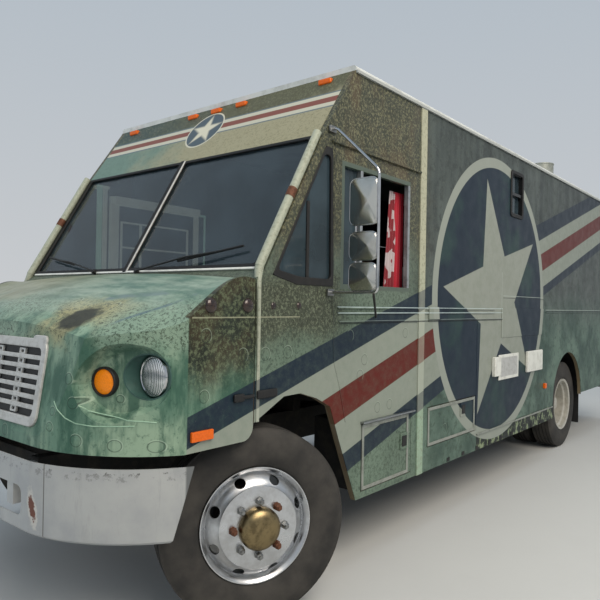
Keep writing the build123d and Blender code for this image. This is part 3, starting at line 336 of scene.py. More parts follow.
@dataclass(frozen=True)
class WornPaint:
    """Weathered paint with the truck's own pattern: mottled, speckled and streaked."""

    name: str
    zone: Zone
    rough: float = 0.42

    def star(self, g: Graph, dy: Value, dz: Value, outer: float, inner: float, angle: float) -> tuple:
        """Mask a five-pointed star.

        Args:
            g: the material's graph.
            dy: distance from the centre along the side.
            dz: distance above the centre.
            outer: reach of the points.
            inner: reach of the notches.
            angle: direction of the first point, in degrees.

        Returns:
            The distance from the centre, and the star's mask.
        """
        reach = g.math("SQRT", g.plus(g.times(dy, dy), g.times(dz, dz)))
        turn = g.minus(g.math("ARCTAN2", dz, dy), math.radians(angle))
        fold = g.math("PINGPONG", g.plus(turn, 4 * math.pi), math.pi / 5)
        px = g.times(reach, g.math("COSINE", fold))
        py = g.times(reach, g.math("SINE", fold))
        bx, by = inner * math.cos(math.pi / 5), inner * math.sin(math.pi / 5)
        ex, ey = bx - outer, by
        cross = g.minus(g.times(ex, py), g.times(ey, g.minus(px, outer)))
        return reach, g.above(cross, 0.0, 0.003)

    def side_base(self, g: Graph) -> Tint:
        """Mottle the sides: green below, grey above, mould beside the cab.

        Args:
            g: the material's graph.

        Returns:
            The colour's socket.
        """
        cloud = g.noise(620, 5, 0.6)
        fine = g.noise(70, 6, 0.7)
        streak = g.noise(240, 4, 0.6, (1, 1, 0.18))
        low = g.mix(g.above(cloud, 0.5, 0.25), BODY_GREEN, BODY_GREEN_PALE)
        low = g.mix(g.times(g.above(fine, 0.56, 0.12), 0.6), low, "#22342c")
        high = g.mix(g.above(streak, 0.5, 0.3), BODY_DARK, BODY_GREY)
        high = g.mix(g.times(g.above(fine, 0.55, 0.1), 0.5), high, "#272b29")
        tint = g.mix(g.above(g.plus(g.z, g.times(cloud, 0.9)), 2.05, 0.7), low, high)
        front = g.below(g.plus(g.y, g.times(g.minus(cloud, 0.5), 0.8)), -1.7, 0.5)
        upper = g.above(g.plus(g.z, g.times(g.minus(cloud, 0.5), 0.7)), 1.95, 0.5)
        speck = g.above(g.noise(17, 6, 0.85), 0.54, 0.1)
        rust = g.above(g.noise(330, 4, 0.6, (1, 1, 0.45), 7.0), 0.54, 0.14)
        mould = g.mix(speck, g.mix(rust, "#35382f", "#4b4233"), "#77755b")
        tint = g.mix(g.times(g.times(front, upper), 0.93), tint, mould)
        dark = g.above(g.noise(24, 6, 0.85, offset=2.0), 0.53, 0.08)
        green = g.mix(g.times(dark, 0.7), "#6f806f", "#2a322b")
        tint = g.mix(g.times(g.times(front, g.minus(1.0, upper)), 0.6), tint, green)
        cheek = g.times(g.between(g.plus(g.z, g.times(cloud, 0.3)), 1.57, 1.96, 0.16),
                        g.below(g.y, -2.7, 0.3))
        tint = g.mix(g.times(cheek, 0.8), tint, g.mix(speck, "#2b2a20", "#6a705c"))
        grit = g.above(g.noise(11, 5, 0.8, offset=4.0), 0.6, 0.05)
        tint = g.mix(g.times(grit, 0.28), tint, "#82877a")
        foot = g.below(g.plus(g.z, g.times(fine, 0.04)), 0.585, 0.01)
        blots = g.mix(g.above(g.noise(60, 4, 0.7, (1, 1, 0.8)), 0.55, 0.06), "#151d19", "#7d8a6c")
        return g.mix(g.times(foot, g.above(g.y, -0.73, 0.01)), tint, blots)

    def nose_base(self, g: Graph) -> Tint:
        """Mottle the nose: mint with dark drips, mould on its crest and flanks.

        Args:
            g: the material's graph.

        Returns:
            The colour's socket.
        """
        cloud = g.noise(420, 5, 0.62)
        drip = g.noise(130, 5, 0.65, (1, 1, 0.25))
        fine = g.noise(34, 6, 0.75)
        tint = g.mix(g.above(cloud, 0.5, 0.22), MINT, MINT_PALE)
        tint = g.mix(g.times(g.above(drip, 0.5, 0.18), 0.85), tint, MINT_DARK)
        tint = g.mix(g.times(g.above(fine, 0.58, 0.1), 0.55), tint, "#2f4f42")
        flat_side = self.side_mask(g)
        front = g.minus(1.0, flat_side)
        wave = g.minus(cloud, 0.5)
        top = g.times(g.above(g.plus(g.z, g.times(wave, 0.3)), 1.6, 0.1), front)
        streaks = g.above(g.noise(110, 5, 0.7, (0.3, 1, 1), 2.3), 0.5, 0.3)
        tint = g.mix(g.times(top, 0.8), tint, g.mix(streaks, "#4f6a60", "#8c9c8f"))
        tint = g.mix(g.times(g.times(top, g.below(g.x, 0.0, 1.1)), 0.55), tint, "#857b5c")
        crest = g.times(g.between(g.plus(g.z, g.times(wave, 0.25)), 1.43, 1.66, 0.12), front)
        patch = g.above(g.noise(260, 3, 0.5, offset=3.1), 0.46, 0.16)
        speck = g.above(g.noise(17, 6, 0.88), 0.535, 0.05)
        gold = g.between(g.x, 0.42, 0.86, 0.25)
        tint = g.mix(g.times(g.times(crest, patch), 0.85), tint,
                     g.mix(g.times(speck, 0.9), g.mix(gold, "#7b907f", "#96916a"), "#25271d"))
        dx, dz = g.times(g.minus(g.x, 0.68), 10.5), g.times(g.minus(g.z, 1.552), 19)
        blot = g.math("SQRT", g.plus(g.times(dx, dx), g.times(dz, dz)))
        blot = g.below(g.plus(blot, g.times(g.minus(fine, 0.5), 1.8)), 1.0, 0.5)
        tint = g.mix(g.times(blot, 0.92), tint, "#1b1c15")
        for low_x, high_x, start, slope in ((0.93, 1.13, 1.543, 0.77), (0.62, 0.95, 1.655, 0.1)):
            along = g.minus(g.z, g.plus(start, g.times(g.minus(g.x, low_x), slope)))
            mark = g.times(g.below(g.math("ABSOLUTE", along), 0.012, 0.012),
                           g.between(g.x, low_x, high_x, 0.05))
            tint = g.mix(g.times(g.times(mark, streaks), 0.7), tint, "#3a5061")
        dark_side = g.times(flat_side, g.above(g.plus(g.z, g.times(wave, 0.5)), 1.24, 0.36))
        spots = g.above(g.noise(22, 6, 0.85, offset=1.7), 0.53, 0.1)
        brown = g.above(g.noise(240, 4, 0.6, offset=6.0), 0.5, 0.2)
        mould = g.mix(g.times(spots, 0.8), g.mix(brown, "#1d1e18", "#33291b"), "#5f674f")
        return g.mix(g.times(dark_side, 0.94), tint, mould)

    def side_mask(self, g: Graph) -> bpy.types.NodeSocket:
        """Return 1 on the truck's flat sides, behind the fender's printed edge."""
        return g.times(g.above(g.math("ABSOLUTE", g.x), 1.19, 0.004), g.above(g.y, -3.899, 0.008))

    def rings(self, g: Graph, tint: Tint) -> Tint:
        """Draw the printed rivet circles over the nose and the sides, each with a painted highlight on one
        side of its ring.

        Args:
            g: the material's graph.
            tint: the colour under it.

        Returns:
            The colour's socket.
        """
        on_side = g.above(g.math("ABSOLUTE", g.x), 1.212)
        for across, mask, rings in ((g.x, g.minus(1.0, on_side), NOSE_RINGS), (g.y, on_side, SIDE_RINGS)):
            for middle, height, radius in rings:
                da, db = g.minus(across, middle), g.minus(g.z, height)
                reach = g.math("SQRT", g.plus(g.times(da, da), g.times(db, db)))
                line = g.times(g.between(reach, radius - 0.0035, radius + 0.001, 0.002), mask)
                # Painted highlight: a pale arc just outside each ring, on its upper side
                shine = g.times(g.between(reach, radius + 0.001, radius + 0.0045, 0.002), mask)
                side = g.above(g.plus(da, db), 0.0, 0.02)
                tint = g.mix(g.times(line, 0.5), tint, "#1f2c26")
                tint = g.mix(g.times(g.times(shine, side), 0.26), tint, "#bfd0bd")
        return self.lines(g, tint)

    def lines(self, g: Graph, tint: Tint) -> Tint:
        """Draw the lit and shaded edges of the side's belts and joints.

        Args:
            g: the material's graph.
            tint: the colour under it.

        Returns:
            The colour's socket.
        """
        on_side = g.above(g.math("ABSOLUTE", g.x), 1.212)
        # Noise breaks up the painted highlight and shade lines along their length
        worn = g.plus(0.55, g.times(g.noise(80, 4), 0.9))
        for low_y, high_y, low_z, high_z, colour, share in SIDE_LINES:
            mask = g.times(g.between(g.y, low_y, high_y, 0.003), g.between(g.z, low_z, high_z, 0.003))
            tint = g.mix(g.times(g.times(g.times(mask, on_side), worn), share), tint, colour)
        return tint

    def livery(self, g: Graph, tint: Tint) -> Tint:
        """Paint the stripes, the ring, the disc and the star on the sides.

        Args:
            g: the material's graph.
            tint: the colour under it.

        Returns:
            The colour's socket.
        """
        rise = g.minus(g.z, g.times(g.minus(g.y, STRIPE_FROM_Y), STRIPE_SLOPE))
        on_side = self.side_mask(g)
        behind = g.above(g.y, RING_CENTRE[0])
        wear = g.plus(0.94, g.times(g.minus(g.noise(55, 6, 0.75), 0.5), 0.7))
        for bands, where in ((AHEAD, g.minus(1.0, behind)), (BEHIND, behind)):
            for band in bands:
                mask = g.times(g.between(rise, band.low, band.high, 0.004), g.times(where, on_side))
                tint = g.mix(g.times(mask, wear), tint, band.colour)
        dy, dz = g.minus(g.y, RING_CENTRE[0]), g.minus(g.z, RING_CENTRE[1])
        reach, star = self.star(g, dy, dz, STAR_RADIUS, STAR_INNER, STAR_ANGLE)
        disc = g.times(g.below(reach, RING_RADIUS, 0.003), on_side)
        ring = g.times(disc, g.above(reach, RING_RADIUS - RING_WIDTH, 0.003))
        blot = g.above(g.noise(420, 4, 0.6, offset=5.0), 0.56, 0.2)
        navy = g.mix(g.times(blot, 0.55), NAVY, "#2a433d")
        tint = g.mix(disc, tint, navy)
        pale = g.mix(g.times(g.above(g.noise(90, 6, 0.7), 0.52, 0.2), 0.45), PALE_GREY, "#7d8478")
        tint = g.mix(g.times(g.times(star, disc), 0.95), tint, pale)
        return g.mix(g.times(ring, 0.9), tint, "#8f958c")

    def cap(self, g: Graph) -> Tint:
        """Mottle the cap and print its thin band and small roundel.

        Args:
            g: the material's graph.

        Returns:
            The colour's socket.
        """
        cloud = g.noise(260, 5, 0.65)
        speck = g.above(g.noise(17, 6, 0.85), 0.54, 0.06)
        across = g.above(g.plus(g.x, g.times(g.minus(cloud, 0.5), 1.6)), -0.35, 1.1)
        low = g.mix(g.times(speck, 0.5), g.mix(across, "#627a6f", TAN), g.mix(across, "#3f524c", "#5f5b41"))
        high = g.mix(g.times(speck, 0.6), g.mix(across, "#33413e", "#4b4b38"), "#72755e")
        tint = g.mix(g.above(g.plus(g.z, g.times(g.minus(cloud, 0.5), 0.3)), 2.9, 0.12), low, high)
        for low_z, high_z, colour in (
            (2.826, 2.948, "#55646c"), (2.836, 2.938, "#b4b3a2"), (2.866, 2.908, "#6b2f27"),
        ):
            tint = g.mix(g.times(g.between(g.z, low_z, high_z, 0.002), 0.92), tint, colour)
        slope_rise = g.times(g.minus(g.z, 2.884), 1.22)
        reach, star = self.star(g, g.x, slope_rise, 0.15, 0.058, 90.0)
        tint = g.mix(g.below(reach, 0.178), tint, "#b7b6a6")
        tint = g.mix(g.below(reach, 0.166), tint, "#45525a")
        return g.mix(g.times(star, g.below(reach, 0.166)), tint, "#bdbba9")

    def make(self) -> bpy.types.Material:
        """Build the material.

        Returns:
            The finished material.
        """
        g = Graph(self.name)
        if self.zone is Zone.CAP:
            tint = self.cap(g)
        elif self.zone is Zone.NOSE:
            tint = self.livery(g, self.rings(g, self.nose_base(g)))
        elif self.zone is Zone.TRIM:
            strip = g.below(g.math("ABSOLUTE", g.plus(g.y, 1.73)), 0.06)
            strip = g.math("MAXIMUM", strip, g.below(g.y, -2.8, 0.05))
            fade = g.above(g.plus(g.z, g.times(g.noise(300), 0.5)), 1.9, 0.5)
            fade = g.mix(fade, "#6f9079", CREAM)
            fade = g.mix(g.below(g.y, -2.8, 0.05), fade, "#858b7b")
            worn = g.above(g.noise(26, 6, 0.85), 0.54, 0.06)
            tint = g.mix(strip, self.side_base(g), g.mix(g.times(worn, 0.6), fade, "#4c4f3a"))
            # Painted highlight: the rounded upright strip is lightened a fifth of the way to near white
            tint = g.mix(g.times(strip, 0.2), self.livery(g, tint), "#d9dccb")
            tint = g.mix(g.above(g.z, 3.065, 0.004), self.lines(g, tint), "#9da19f")
        else:
            tint = self.livery(g, self.side_base(g))
            tint = self.rings(g, tint)
            inner = g.below(g.math("ABSOLUTE", g.x), 1.2165)
            arch = g.times(inner, g.times(g.below(g.z, 1.25), g.above(g.math("ABSOLUTE", g.x), 1.15)))
            tint = g.mix(g.times(arch, 0.8), tint, "#75644d")
        scuff = g.above(g.noise(9, 6, 0.8, (1, 1, 0.5)), 0.66, 0.05)
        tint = g.mix(g.times(scuff, 0.2), tint, "#b9bdb2")
        g.set(Base_Color=tint, Roughness=g.plus(self.rough - 0.12, g.times(g.noise(120, 4), 0.3)))
        g.set(Specular_IOR_Level=0.2, Coat_Weight=0.03, Coat_Roughness=0.2)
        g.bump(g.noise(220, 3), 2.0, 0.25)
        return g.material


@dataclass(frozen=True)
class Plain:
    """One even material with light wear: colour, roughness and a little mottling, and a glow where asked,
    which is painted light.
    """

    name: str
    colour: str
    rough: float = 0.5
    metal: float = 0.0
    stain: str = "#2c2a26"
    stain_share: float = 0.25
    stain_mm: float = 90
    coat: float = 0.0
    grain_mm: float = 0.0
    glow: float = 0.0

    def make(self) -> bpy.types.Material:
        """Build the material.

        Returns:
            The finished material.
        """
        g = Graph(self.name)
        blot = g.above(g.noise(self.stain_mm, 6, 0.7), 0.55, 0.2)
        tint = g.mix(g.times(blot, self.stain_share), self.colour, self.stain)
        # A glow above zero is painted light standing in for daylight; it is no lamp
        g.set(Base_Color=tint, Metallic=self.metal, Emission_Color=tint, Emission_Strength=self.glow)
        g.set(Roughness=g.plus(self.rough - 0.06, g.times(g.noise(40, 4), 0.12)))
        if self.coat:
            g.set(Coat_Weight=self.coat, Coat_Roughness=0.08)
        if self.grain_mm:
            g.bump(g.noise(self.grain_mm, 3), 0.6, 0.4)
        return g.material


@dataclass(frozen=True)
class Glass:
    """Tinted pane: dark from outside, with clear reflections."""

    name: str
    colour: str
    alpha: float = 0.6
    rough: float = 0.02

    def make(self) -> bpy.types.Material:
        """Build the material.

        Returns:
            The finished material.
        """
        g = Graph(self.name)
        dust = g.above(g.noise(300, 4), 0.5, 0.4)
        flank = g.above(g.math("ABSOLUTE", g.x), 1.175)
        g.set(Base_Color=g.mix(g.times(dust, 0.5), self.colour, "#10181b"), Roughness=self.rough)
        g.set(Alpha=g.plus(self.alpha, g.times(flank, 0.94 - self.alpha)), Coat_Roughness=0.01)
        g.set(Specular_IOR_Level=g.minus(0.9, g.times(flank, 0.7)),
              Coat_Weight=g.minus(0.5, g.times(flank, 0.45)))
        return g.material


@dataclass(frozen=True)
class Lens:
    """Coloured or clear lamp lens with moulded prisms."""

    name: str
    colour: str
    glow: float = 0.0
    prism_mm: float = 6

    def make(self) -> bpy.types.Material:
        """Build the material.

        Returns:
            The finished material.
        """
        g = Graph(self.name)
        cells = add_node(g.tree, "ShaderNodeTexVoronoi", {"Vector": g.place, "Scale": 1000 / self.prism_mm})
        tint = g.mix(g.times(cells.outputs["Distance"], 0.3), self.colour, "#5a1c00")
        g.set(Base_Color=tint, Roughness=0.3, Coat_Weight=0.3, Coat_Roughness=0.08, Specular_IOR_Level=0.2)
        g.set(Emission_Color=self.colour, Emission_Strength=self.glow)
        g.bump(cells.outputs["Distance"], 0.8, 0.5)
        return g.material


@dataclass(frozen=True)
class HeadlampGlass:
    """Clear ribbed glass over a bright bowl, drawn as opaque bright metal: upright flutes, darker below its
    middle as painted shade.
    """

    name: str = "fluted headlamp glass"
    flute_mm: float = 11

    def make(self) -> bpy.types.Material:
        """Build the material.

        Returns:
            The finished material.
        """
        g = Graph(self.name)
        wave = g.math("SINE", g.times(g.x, 2 * math.pi * 1000 / self.flute_mm))
        # Painted shade: the lens darkens below its middle; a thin dark band crosses it
        low = g.below(g.plus(g.z, g.times(g.noise(60, 3), 0.12)), 1.345, 0.05)
        band = g.between(g.plus(g.z, g.times(wave, 0.004)), 1.29, 1.33, 0.012)
        tint = g.mix(g.times(low, 0.6), "#e9ebec", "#7f8583")
        tint = g.mix(g.times(band, 0.4), tint, "#4b504e")
        g.set(Base_Color=tint, Metallic=0.85, Roughness=0.12, Coat_Weight=1.0, Coat_Roughness=0.02)
        g.bump(wave, 1.2, 0.8)
        return g.material


@dataclass(frozen=True)
class WindowFrame:
    """Window frames: body-coloured ahead, mill aluminium upright and rear bar, black on the small window."""

    name: str = "painted and bare window frame"

    def make(self) -> bpy.types.Material:
        """Build the material.

        Returns:
            The finished material.
        """
        g = Graph(self.name)
        grime = g.above(g.noise(50, 5, 0.7), 0.55, 0.2)
        painted = g.math("MAXIMUM", g.below(g.y, -2.705), g.above(g.z, 2.477))
        painted = g.math("MAXIMUM", painted, g.below(g.z, 1.763))
        black = g.above(g.y, -0.5)
        tint = g.mix(g.times(grime, 0.4), g.mix(painted, "#a9adaf", "#49564b"), "#4a4b44")
        bare = g.minus(1.0, g.math("MAXIMUM", painted, black))
        g.set(Base_Color=g.mix(black, tint, "#101112"), Metallic=g.times(bare, 0.8), Roughness=0.36)
        return g.material


@dataclass(frozen=True)
class BumperPaint:
    """Pale grey bumper paint, chipped at its edges, with rust at one gash."""

    name: str = "chipped grey bumper paint"

    def make(self) -> bpy.types.Material:
        """Build the material.

        Returns:
            The finished material.
        """
        g = Graph(self.name)
        cloud = g.noise(300, 5, 0.6)
        tint = g.mix(g.above(cloud, 0.5, 0.4), "#8d9092", "#9fa1a0")
        drip = g.above(g.noise(60, 5, 0.7, (1, 1, 0.15)), 0.6, 0.1)
        tint = g.mix(g.times(drip, 0.3), tint, "#7f8282")
        chip = g.above(g.noise(14, 5, 0.8), 0.68, 0.03)
        top = g.above(g.plus(g.z, g.times(cloud, 0.05)), 0.9, 0.02)
        edge = g.between(g.plus(g.z, g.times(g.noise(26, 6, 0.8), 0.045)), 0.862, 0.897, 0.004)
        chip = g.math("MAXIMUM", chip, g.times(edge, g.above(g.noise(38, 5, 0.8, offset=6.0), 0.55, 0.04)))
        tint = g.mix(g.times(chip, g.plus(0.35, g.times(top, 0.6))), tint, "#2e2b27")
        dx = g.times(g.minus(g.plus(g.x, g.times(g.minus(g.z, 0.68), 0.22)), 0.645), 34)
        dz = g.times(g.minus(g.z, 0.68), 11)
        gash = g.math("SQRT", g.plus(g.times(dx, dx), g.times(dz, dz)))
        gash = g.plus(gash, g.times(g.minus(g.noise(30, 5, 0.7), 0.5), 1.6))
        tint = g.mix(g.times(g.below(gash, 1.0, 0.4), 0.5), tint, "#c9c4ba")
        tint = g.mix(g.below(gash, 0.62, 0.2), tint, "#5a2c1a")
        seam = g.below(g.math("ABSOLUTE", g.minus(g.math("ABSOLUTE", g.x), 0.718)), 0.0028)
        tint = g.mix(g.times(seam, 0.85), tint, "#45403a")
        tint = g.mix(g.above(g.y, -3.9, 0.01), tint, "#5c5f60")
        g.set(Base_Color=tint, Roughness=0.45, Coat_Weight=0.15)
        g.bump(g.noise(160, 4), 2.0, 0.25)
        return g.material


@dataclass(frozen=True)
class PolishedRim:
    """Bright aluminium with a fine bumpy grain and a patchy grey film."""

    name: str = "polished aluminium wheel"
    colour: str = "#c9cbce"
    rough: float = 0.27

    def make(self) -> bpy.types.Material:
        """Build the material.

        Returns:
            The finished material.
        """
        g = Graph(self.name)
        film = g.above(g.noise(120, 5, 0.7), 0.52, 0.3)
        g.set(Base_Color=g.mix(g.times(film, 0.35), self.colour, "#85827c"), Metallic=1.0)
        g.set(Roughness=g.plus(self.rough, g.times(film, 0.16)))
        g.bump(g.noise(30, 3), 0.3, 0.3)
        return g.material


@dataclass(frozen=True)
class TyreRubber:
    """Dusty black rubber with paler grey-brown blots."""

    name: str = "tyre rubber"

    def make(self) -> bpy.types.Material:
        """Build the material.

        Returns:
            The finished material.
        """
        g = Graph(self.name)
        dust = g.noise(200, 5, 0.6)
        g.set(Base_Color=g.mix(g.above(dust, 0.5, 0.4), "#1d1c1b", "#3a3733"), Roughness=0.8)
        g.bump(g.noise(6, 3), 0.5, 0.4)
        return g.material


@dataclass(frozen=True)
class CurtainCloth:
    """Thin red cloth with pale blots, hung in the cab window."""

    name: str = "red and white curtain cloth"

    def make(self) -> bpy.types.Material:
        """Build the material.

        Returns:
            The finished material.
        """
        g = Graph(self.name)
        blots = g.above(g.noise(70, 1, 0.3, (1, 1, 0.8)), 0.51, 0.02)
        weave = g.noise(3, 2)
        plain = g.above(g.y, -1.975, 0.004)
        tint = g.mix(blots, "#7c1420", "#b9aeb0")
        tint = g.mix(plain, tint, "#b3142c")
        g.set(Base_Color=g.mix(g.times(weave, 0.3), tint, "#5a1020"), Roughness=0.85, Sheen_Weight=0.3)
        g.bump(weave, 0.4, 0.4)
        return g.material


@dataclass
class Palette:
    """Every finish of the truck, each made once."""

    finishes: dict = field(default_factory=dict)

    def __post_init__(self) -> None:
        """Make the materials."""
        looks = {
            # Printed vinyl wrap on painted sheet: flat colours under mottled grime, low gloss
            "side": WornPaint("weathered side paint", Zone.SIDE),
            # The same wrap on moulded glass-fibre: smoother, with a faint wet sheen
            "nose": WornPaint("weathered mint nose paint", Zone.NOSE, 0.34),
            # Wrap on the cap above the screen: tan mould under a thin band
            "cap": WornPaint("mouldy cap paint", Zone.CAP),
            # Wrapped edge strips and pillar covers with pale scuffs; the upright strip is also lightened as a
            # painted highlight on its rounded face
            "trim": WornPaint("worn cream trim paint with painted highlight", Zone.TRIM),
            # Sprayed steel channel: pale grey, with chips and one rusty gash
            "bumper": BumperPaint(),
            # Polished forged aluminium: bright, with soft mirror streaks and a grey film
            "rim": PolishedRim(),
            # Moulded rubber: dusty black, hardly a highlight
            "tyre": TyreRubber(),
            # Woven cotton: matt folds with a soft edge
            "cloth": CurtainCloth(),
            # Laminated sheet glass: mirror images over a dim view of the cab
            "screen": Glass("windscreen glass", "#35434b", 0.45, 0.0),
            # Stove enamel: clean white with a small highlight, greyer in streaks
            "white": Plain("white enamel", "#d5d6cf", 0.4, stain="#8a8a80", stain_share=0.3, coat=0.2),
            # Rolled white sheet: matt, with wide rain stains
            "roof": Plain("white roof sheet", "#c2c5c2", 0.5, stain="#6d706a", stain_share=0.4, stain_mm=300),
            # Extruded rubber: a soft dull edge round the glass
            "black": Plain("black rubber", "#0d0d0e", 0.62, stain="#2a2826", stain_share=0.3, grain_mm=3),
            # Moulded plastic: fine grain and a broad grey highlight
            "plastic": Plain("black plastic", "#131415", 0.5, stain="#2b2b2b", grain_mm=2),
            # Brushed-on chassis paint: nearly black, brown where dust lies
            "chassis": Plain("dusty chassis paint", "#161615", 0.75, stain="#3b352c", stain_share=0.5),
            # Sand-cast iron: coarse grain with oily dark patches
            "iron": Plain("oily cast iron", "#1f1e1c", 0.7, 0.4, stain="#3a2c20", stain_share=0.5,
                          grain_mm=4),
            # Brushed steel: grey metal with a blurred highlight
            "steel": Plain("brushed steel", "#8b8c8b", 0.35, 1.0, stain="#5d5b57", stain_share=0.3),
            # Mill-finish aluminium: pale metal dulled by grime
            "aluminium": Plain("mill aluminium", "#9fa2a4", 0.38, 1.0, stain="#6b6a66", stain_share=0.35),
            # Silver sprayed on plastic: pale grey, dirt in small blots
            "silver": Plain("silver grille paint", "#b4b5b3", 0.42, 0.2, stain="#6b665c", stain_share=0.3,
                            stain_mm=40),
            # Chrome plate: nearly a mirror, with pitted grey spots
            "chrome": Plain("chrome", "#c8c9ca", 0.09, 1.0, stain="#8d8a84", stain_share=0.2, stain_mm=50),
            # Pressed stainless steel: bright facets with large water stains
            "satin": Plain("stained mirror-back steel", "#d2d1ca", 0.22, 1.0, stain="#948f80",
                           stain_share=0.35, stain_mm=260),
            # Oxidised aluminium: chalky grey with little shine
            "belt": Plain("oxidised aluminium edging", "#8f938c", 0.45, 0.3, stain="#5b5f55",
                          stain_share=0.5),
            # Spun brass: warm and dull, with dark hand marks
            "brass": Plain("worn brass cap", "#8a7a5a", 0.34, 1.0, stain="#4b4232", stain_share=0.6,
                           stain_mm=60),
            # Rusted steel: brown and rough, in small scabs
            "rust": Plain("rusty steel", "#6a4533", 0.7, 0.5, stain="#3a241a", stain_share=0.6, stain_mm=12),
            # Pressed glass: upright flutes that break up the bright bowl
            "fluted": HeadlampGlass(),
            # Extruded frames: bare, painted and black along their length
            "frames": WindowFrame(),
            # Wrap inside the lamp tubes: mint, darker than the nose as painted shade inside the tubes
            "nose_inner": Plain("mint lamp tube paint darkened as painted shade", "#31504a", 0.45, stain="#1f2f2a", stain_share=0.4),
            # Moulded acrylic lenses: strong colour, with prisms that catch the light
            "amber": Lens("amber lens", "#e8820c", 0.18),
            "orange": Lens("orange marker lens", "#d65f0c", 0.1, 9),
            "red": Lens("red tail lens", "#8f0f0b", 0.05),
            # Enamelled steel in the cab: pale, with a painted glow that stands in for daylight from the far
            # side
            "inner_white": Plain("inner cabinet enamel with painted glow", "#a9b2a6", 0.5, stain="#7d8479", glow=0.34),
            "inner_mint": Plain("inner mint enamel with painted glow", "#93b8a6", 0.5, stain="#6f8f80", glow=0.34),
            # Wrap over a thin moulded ridge: paler than round it, as a painted highlight
            "ridge": Plain("mint ridge paint with painted highlight", "#8fae96", 0.4, stain="#5d7f6d", stain_share=0.6, stain_mm=60),
            # Domed plugs: dark, with one sharp highlight
            "dome": Plain("dark bolt dome", "#221713", 0.25, 0.3, stain="#4a2f22", stain_share=0.5,
                          stain_mm=20, coat=0.6),
            # Sprayed steel wheel: pale and chalky
            "rear_rim": Plain("pale wheel paint", "#b3b1a8", 0.36, 0.25, stain="#7c7568", stain_share=0.4),
            # Embossed vinyl: black grain with a soft highlight
            "vinyl": Plain("black seat vinyl", "#17181a", 0.5, grain_mm=3),
            # Vacuum-coated bowl: a sharp bright mirror
            "reflector": Plain("lamp reflector", "#e4e6e8", 0.06, 1.0, stain="#c0c2c4"),
        }
        self.finishes = {key: look.make() for key, look in looks.items()}

    def __getitem__(self, key: str) -> bpy.types.Material:
        """Return one material by its short name."""
        return self.finishes[key]


# Shapes


def new_object(name: str, mesh: bpy.types.Mesh, material: bpy.types.Material, body: str) -> bpy.types.Object:
    """Link a mesh as a piece that rides on a body.

    Args:
        name: the piece's name.
        mesh: its mesh.
        material: its finish.
        body: the CAD body that it moves with.

    Returns:
        The new object.
    """
    piece = bpy.data.objects.new(name, mesh)
    bpy.context.scene.collection.objects.link(piece)
    mesh.materials.append(material)
    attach(piece, body)
    return piece


def finish_mesh(name: str, work: bmesh.types.BMesh, material: bpy.types.Material, body: str,
                bevel: float = 0.0, smooth: float = 35.0) -> bpy.types.Object:
    """Turn a bmesh into a piece with soft edges.

    Args:
        name: the piece's name.
        work: the mesh being made, freed here.
        material: its finish.
        body: the body it rides on.
        bevel: edge radius in metres.
        smooth: angle below which faces shade smooth, in degrees.

    Returns:
        The new object.
    """
    bmesh.ops.recalc_face_normals(work, faces=work.faces)
    for face in work.faces:
        face.smooth = True
    mesh = bpy.data.meshes.new(name)
    work.to_mesh(mesh)
    work.free()
    mesh.set_sharp_from_angle(angle=math.radians(smooth))
    piece = new_object(name, mesh, material, body)
    if bevel:
        edge = piece.modifiers.new("edge", "BEVEL")
        edge.width = bevel
        edge.segments = 2
        edge.limit_method = "ANGLE"
        edge.harden_normals = True
    return piece


def slab(name: str, low: Point, high: Point, material: bpy.types.Material, body: str = "truck",
         bevel: float = 0.002) -> bpy.types.Object:
    """Make a soft-edged block between two corners.

    Args:
        name: the piece's name.
        low: low corner.
        high: high corner.
        material: finish.
        body: the body it rides on.
        bevel: edge radius in metres.

    Returns:
        The new object.
    """
    work = bmesh.new()
    size = [b - a for a, b in zip(low, high)]
    middle = [(a + b) / 2 for a, b in zip(low, high)]
    bmesh.ops.create_cube(work, size=1.0, matrix=Matrix.Translation(middle) @ Matrix.Diagonal((*size, 1)))
    return finish_mesh(name, work, material, body, bevel)


def extruded(name: str, outline: Sequence[Sequence[float]], place: Matrix, depth: float,
             material: bpy.types.Material, body: str = "truck", bevel: float = 0.002,
             hole: Optional[Sequence[Sequence[float]]] = None) -> bpy.types.Object:
    """Extrude a flat outline, or the ring between it and a hole of as many points.

    Args:
        name: the piece's name.
        outline: points in the plane of place.
        place: matrix from the outline's plane to the truck's own frame.
        depth: thickness along the plane's normal.
        material: finish.
        body: the body it rides on.
        bevel: edge radius in metres.
        hole: inner outline, with as many points as the outer one.

    Returns:
        The new object.
    """
    work = bmesh.new()
    loops = [outline] if hole is None else [outline, hole]
    rows = []
    for level in (0.0, depth):
        for loop in loops:
            rows.append([work.verts.new(place @ Vector((p[0], p[1], level))) for p in loop])
    count = len(outline)
    if hole is None:
        work.faces.new(rows[0])
        work.faces.new(list(reversed(rows[1])))
        pairs = [(rows[0], rows[1])]
    else:
        pairs = [(rows[0], rows[1]), (rows[1], rows[3]), (rows[3], rows[2]), (rows[2], rows[0])]
    for first, second in pairs:
        for i in range(count):
            j = (i + 1) % count
            work.faces.new((first[i], first[j], second[j], second[i]))
    return finish_mesh(name, work, material, body, bevel)


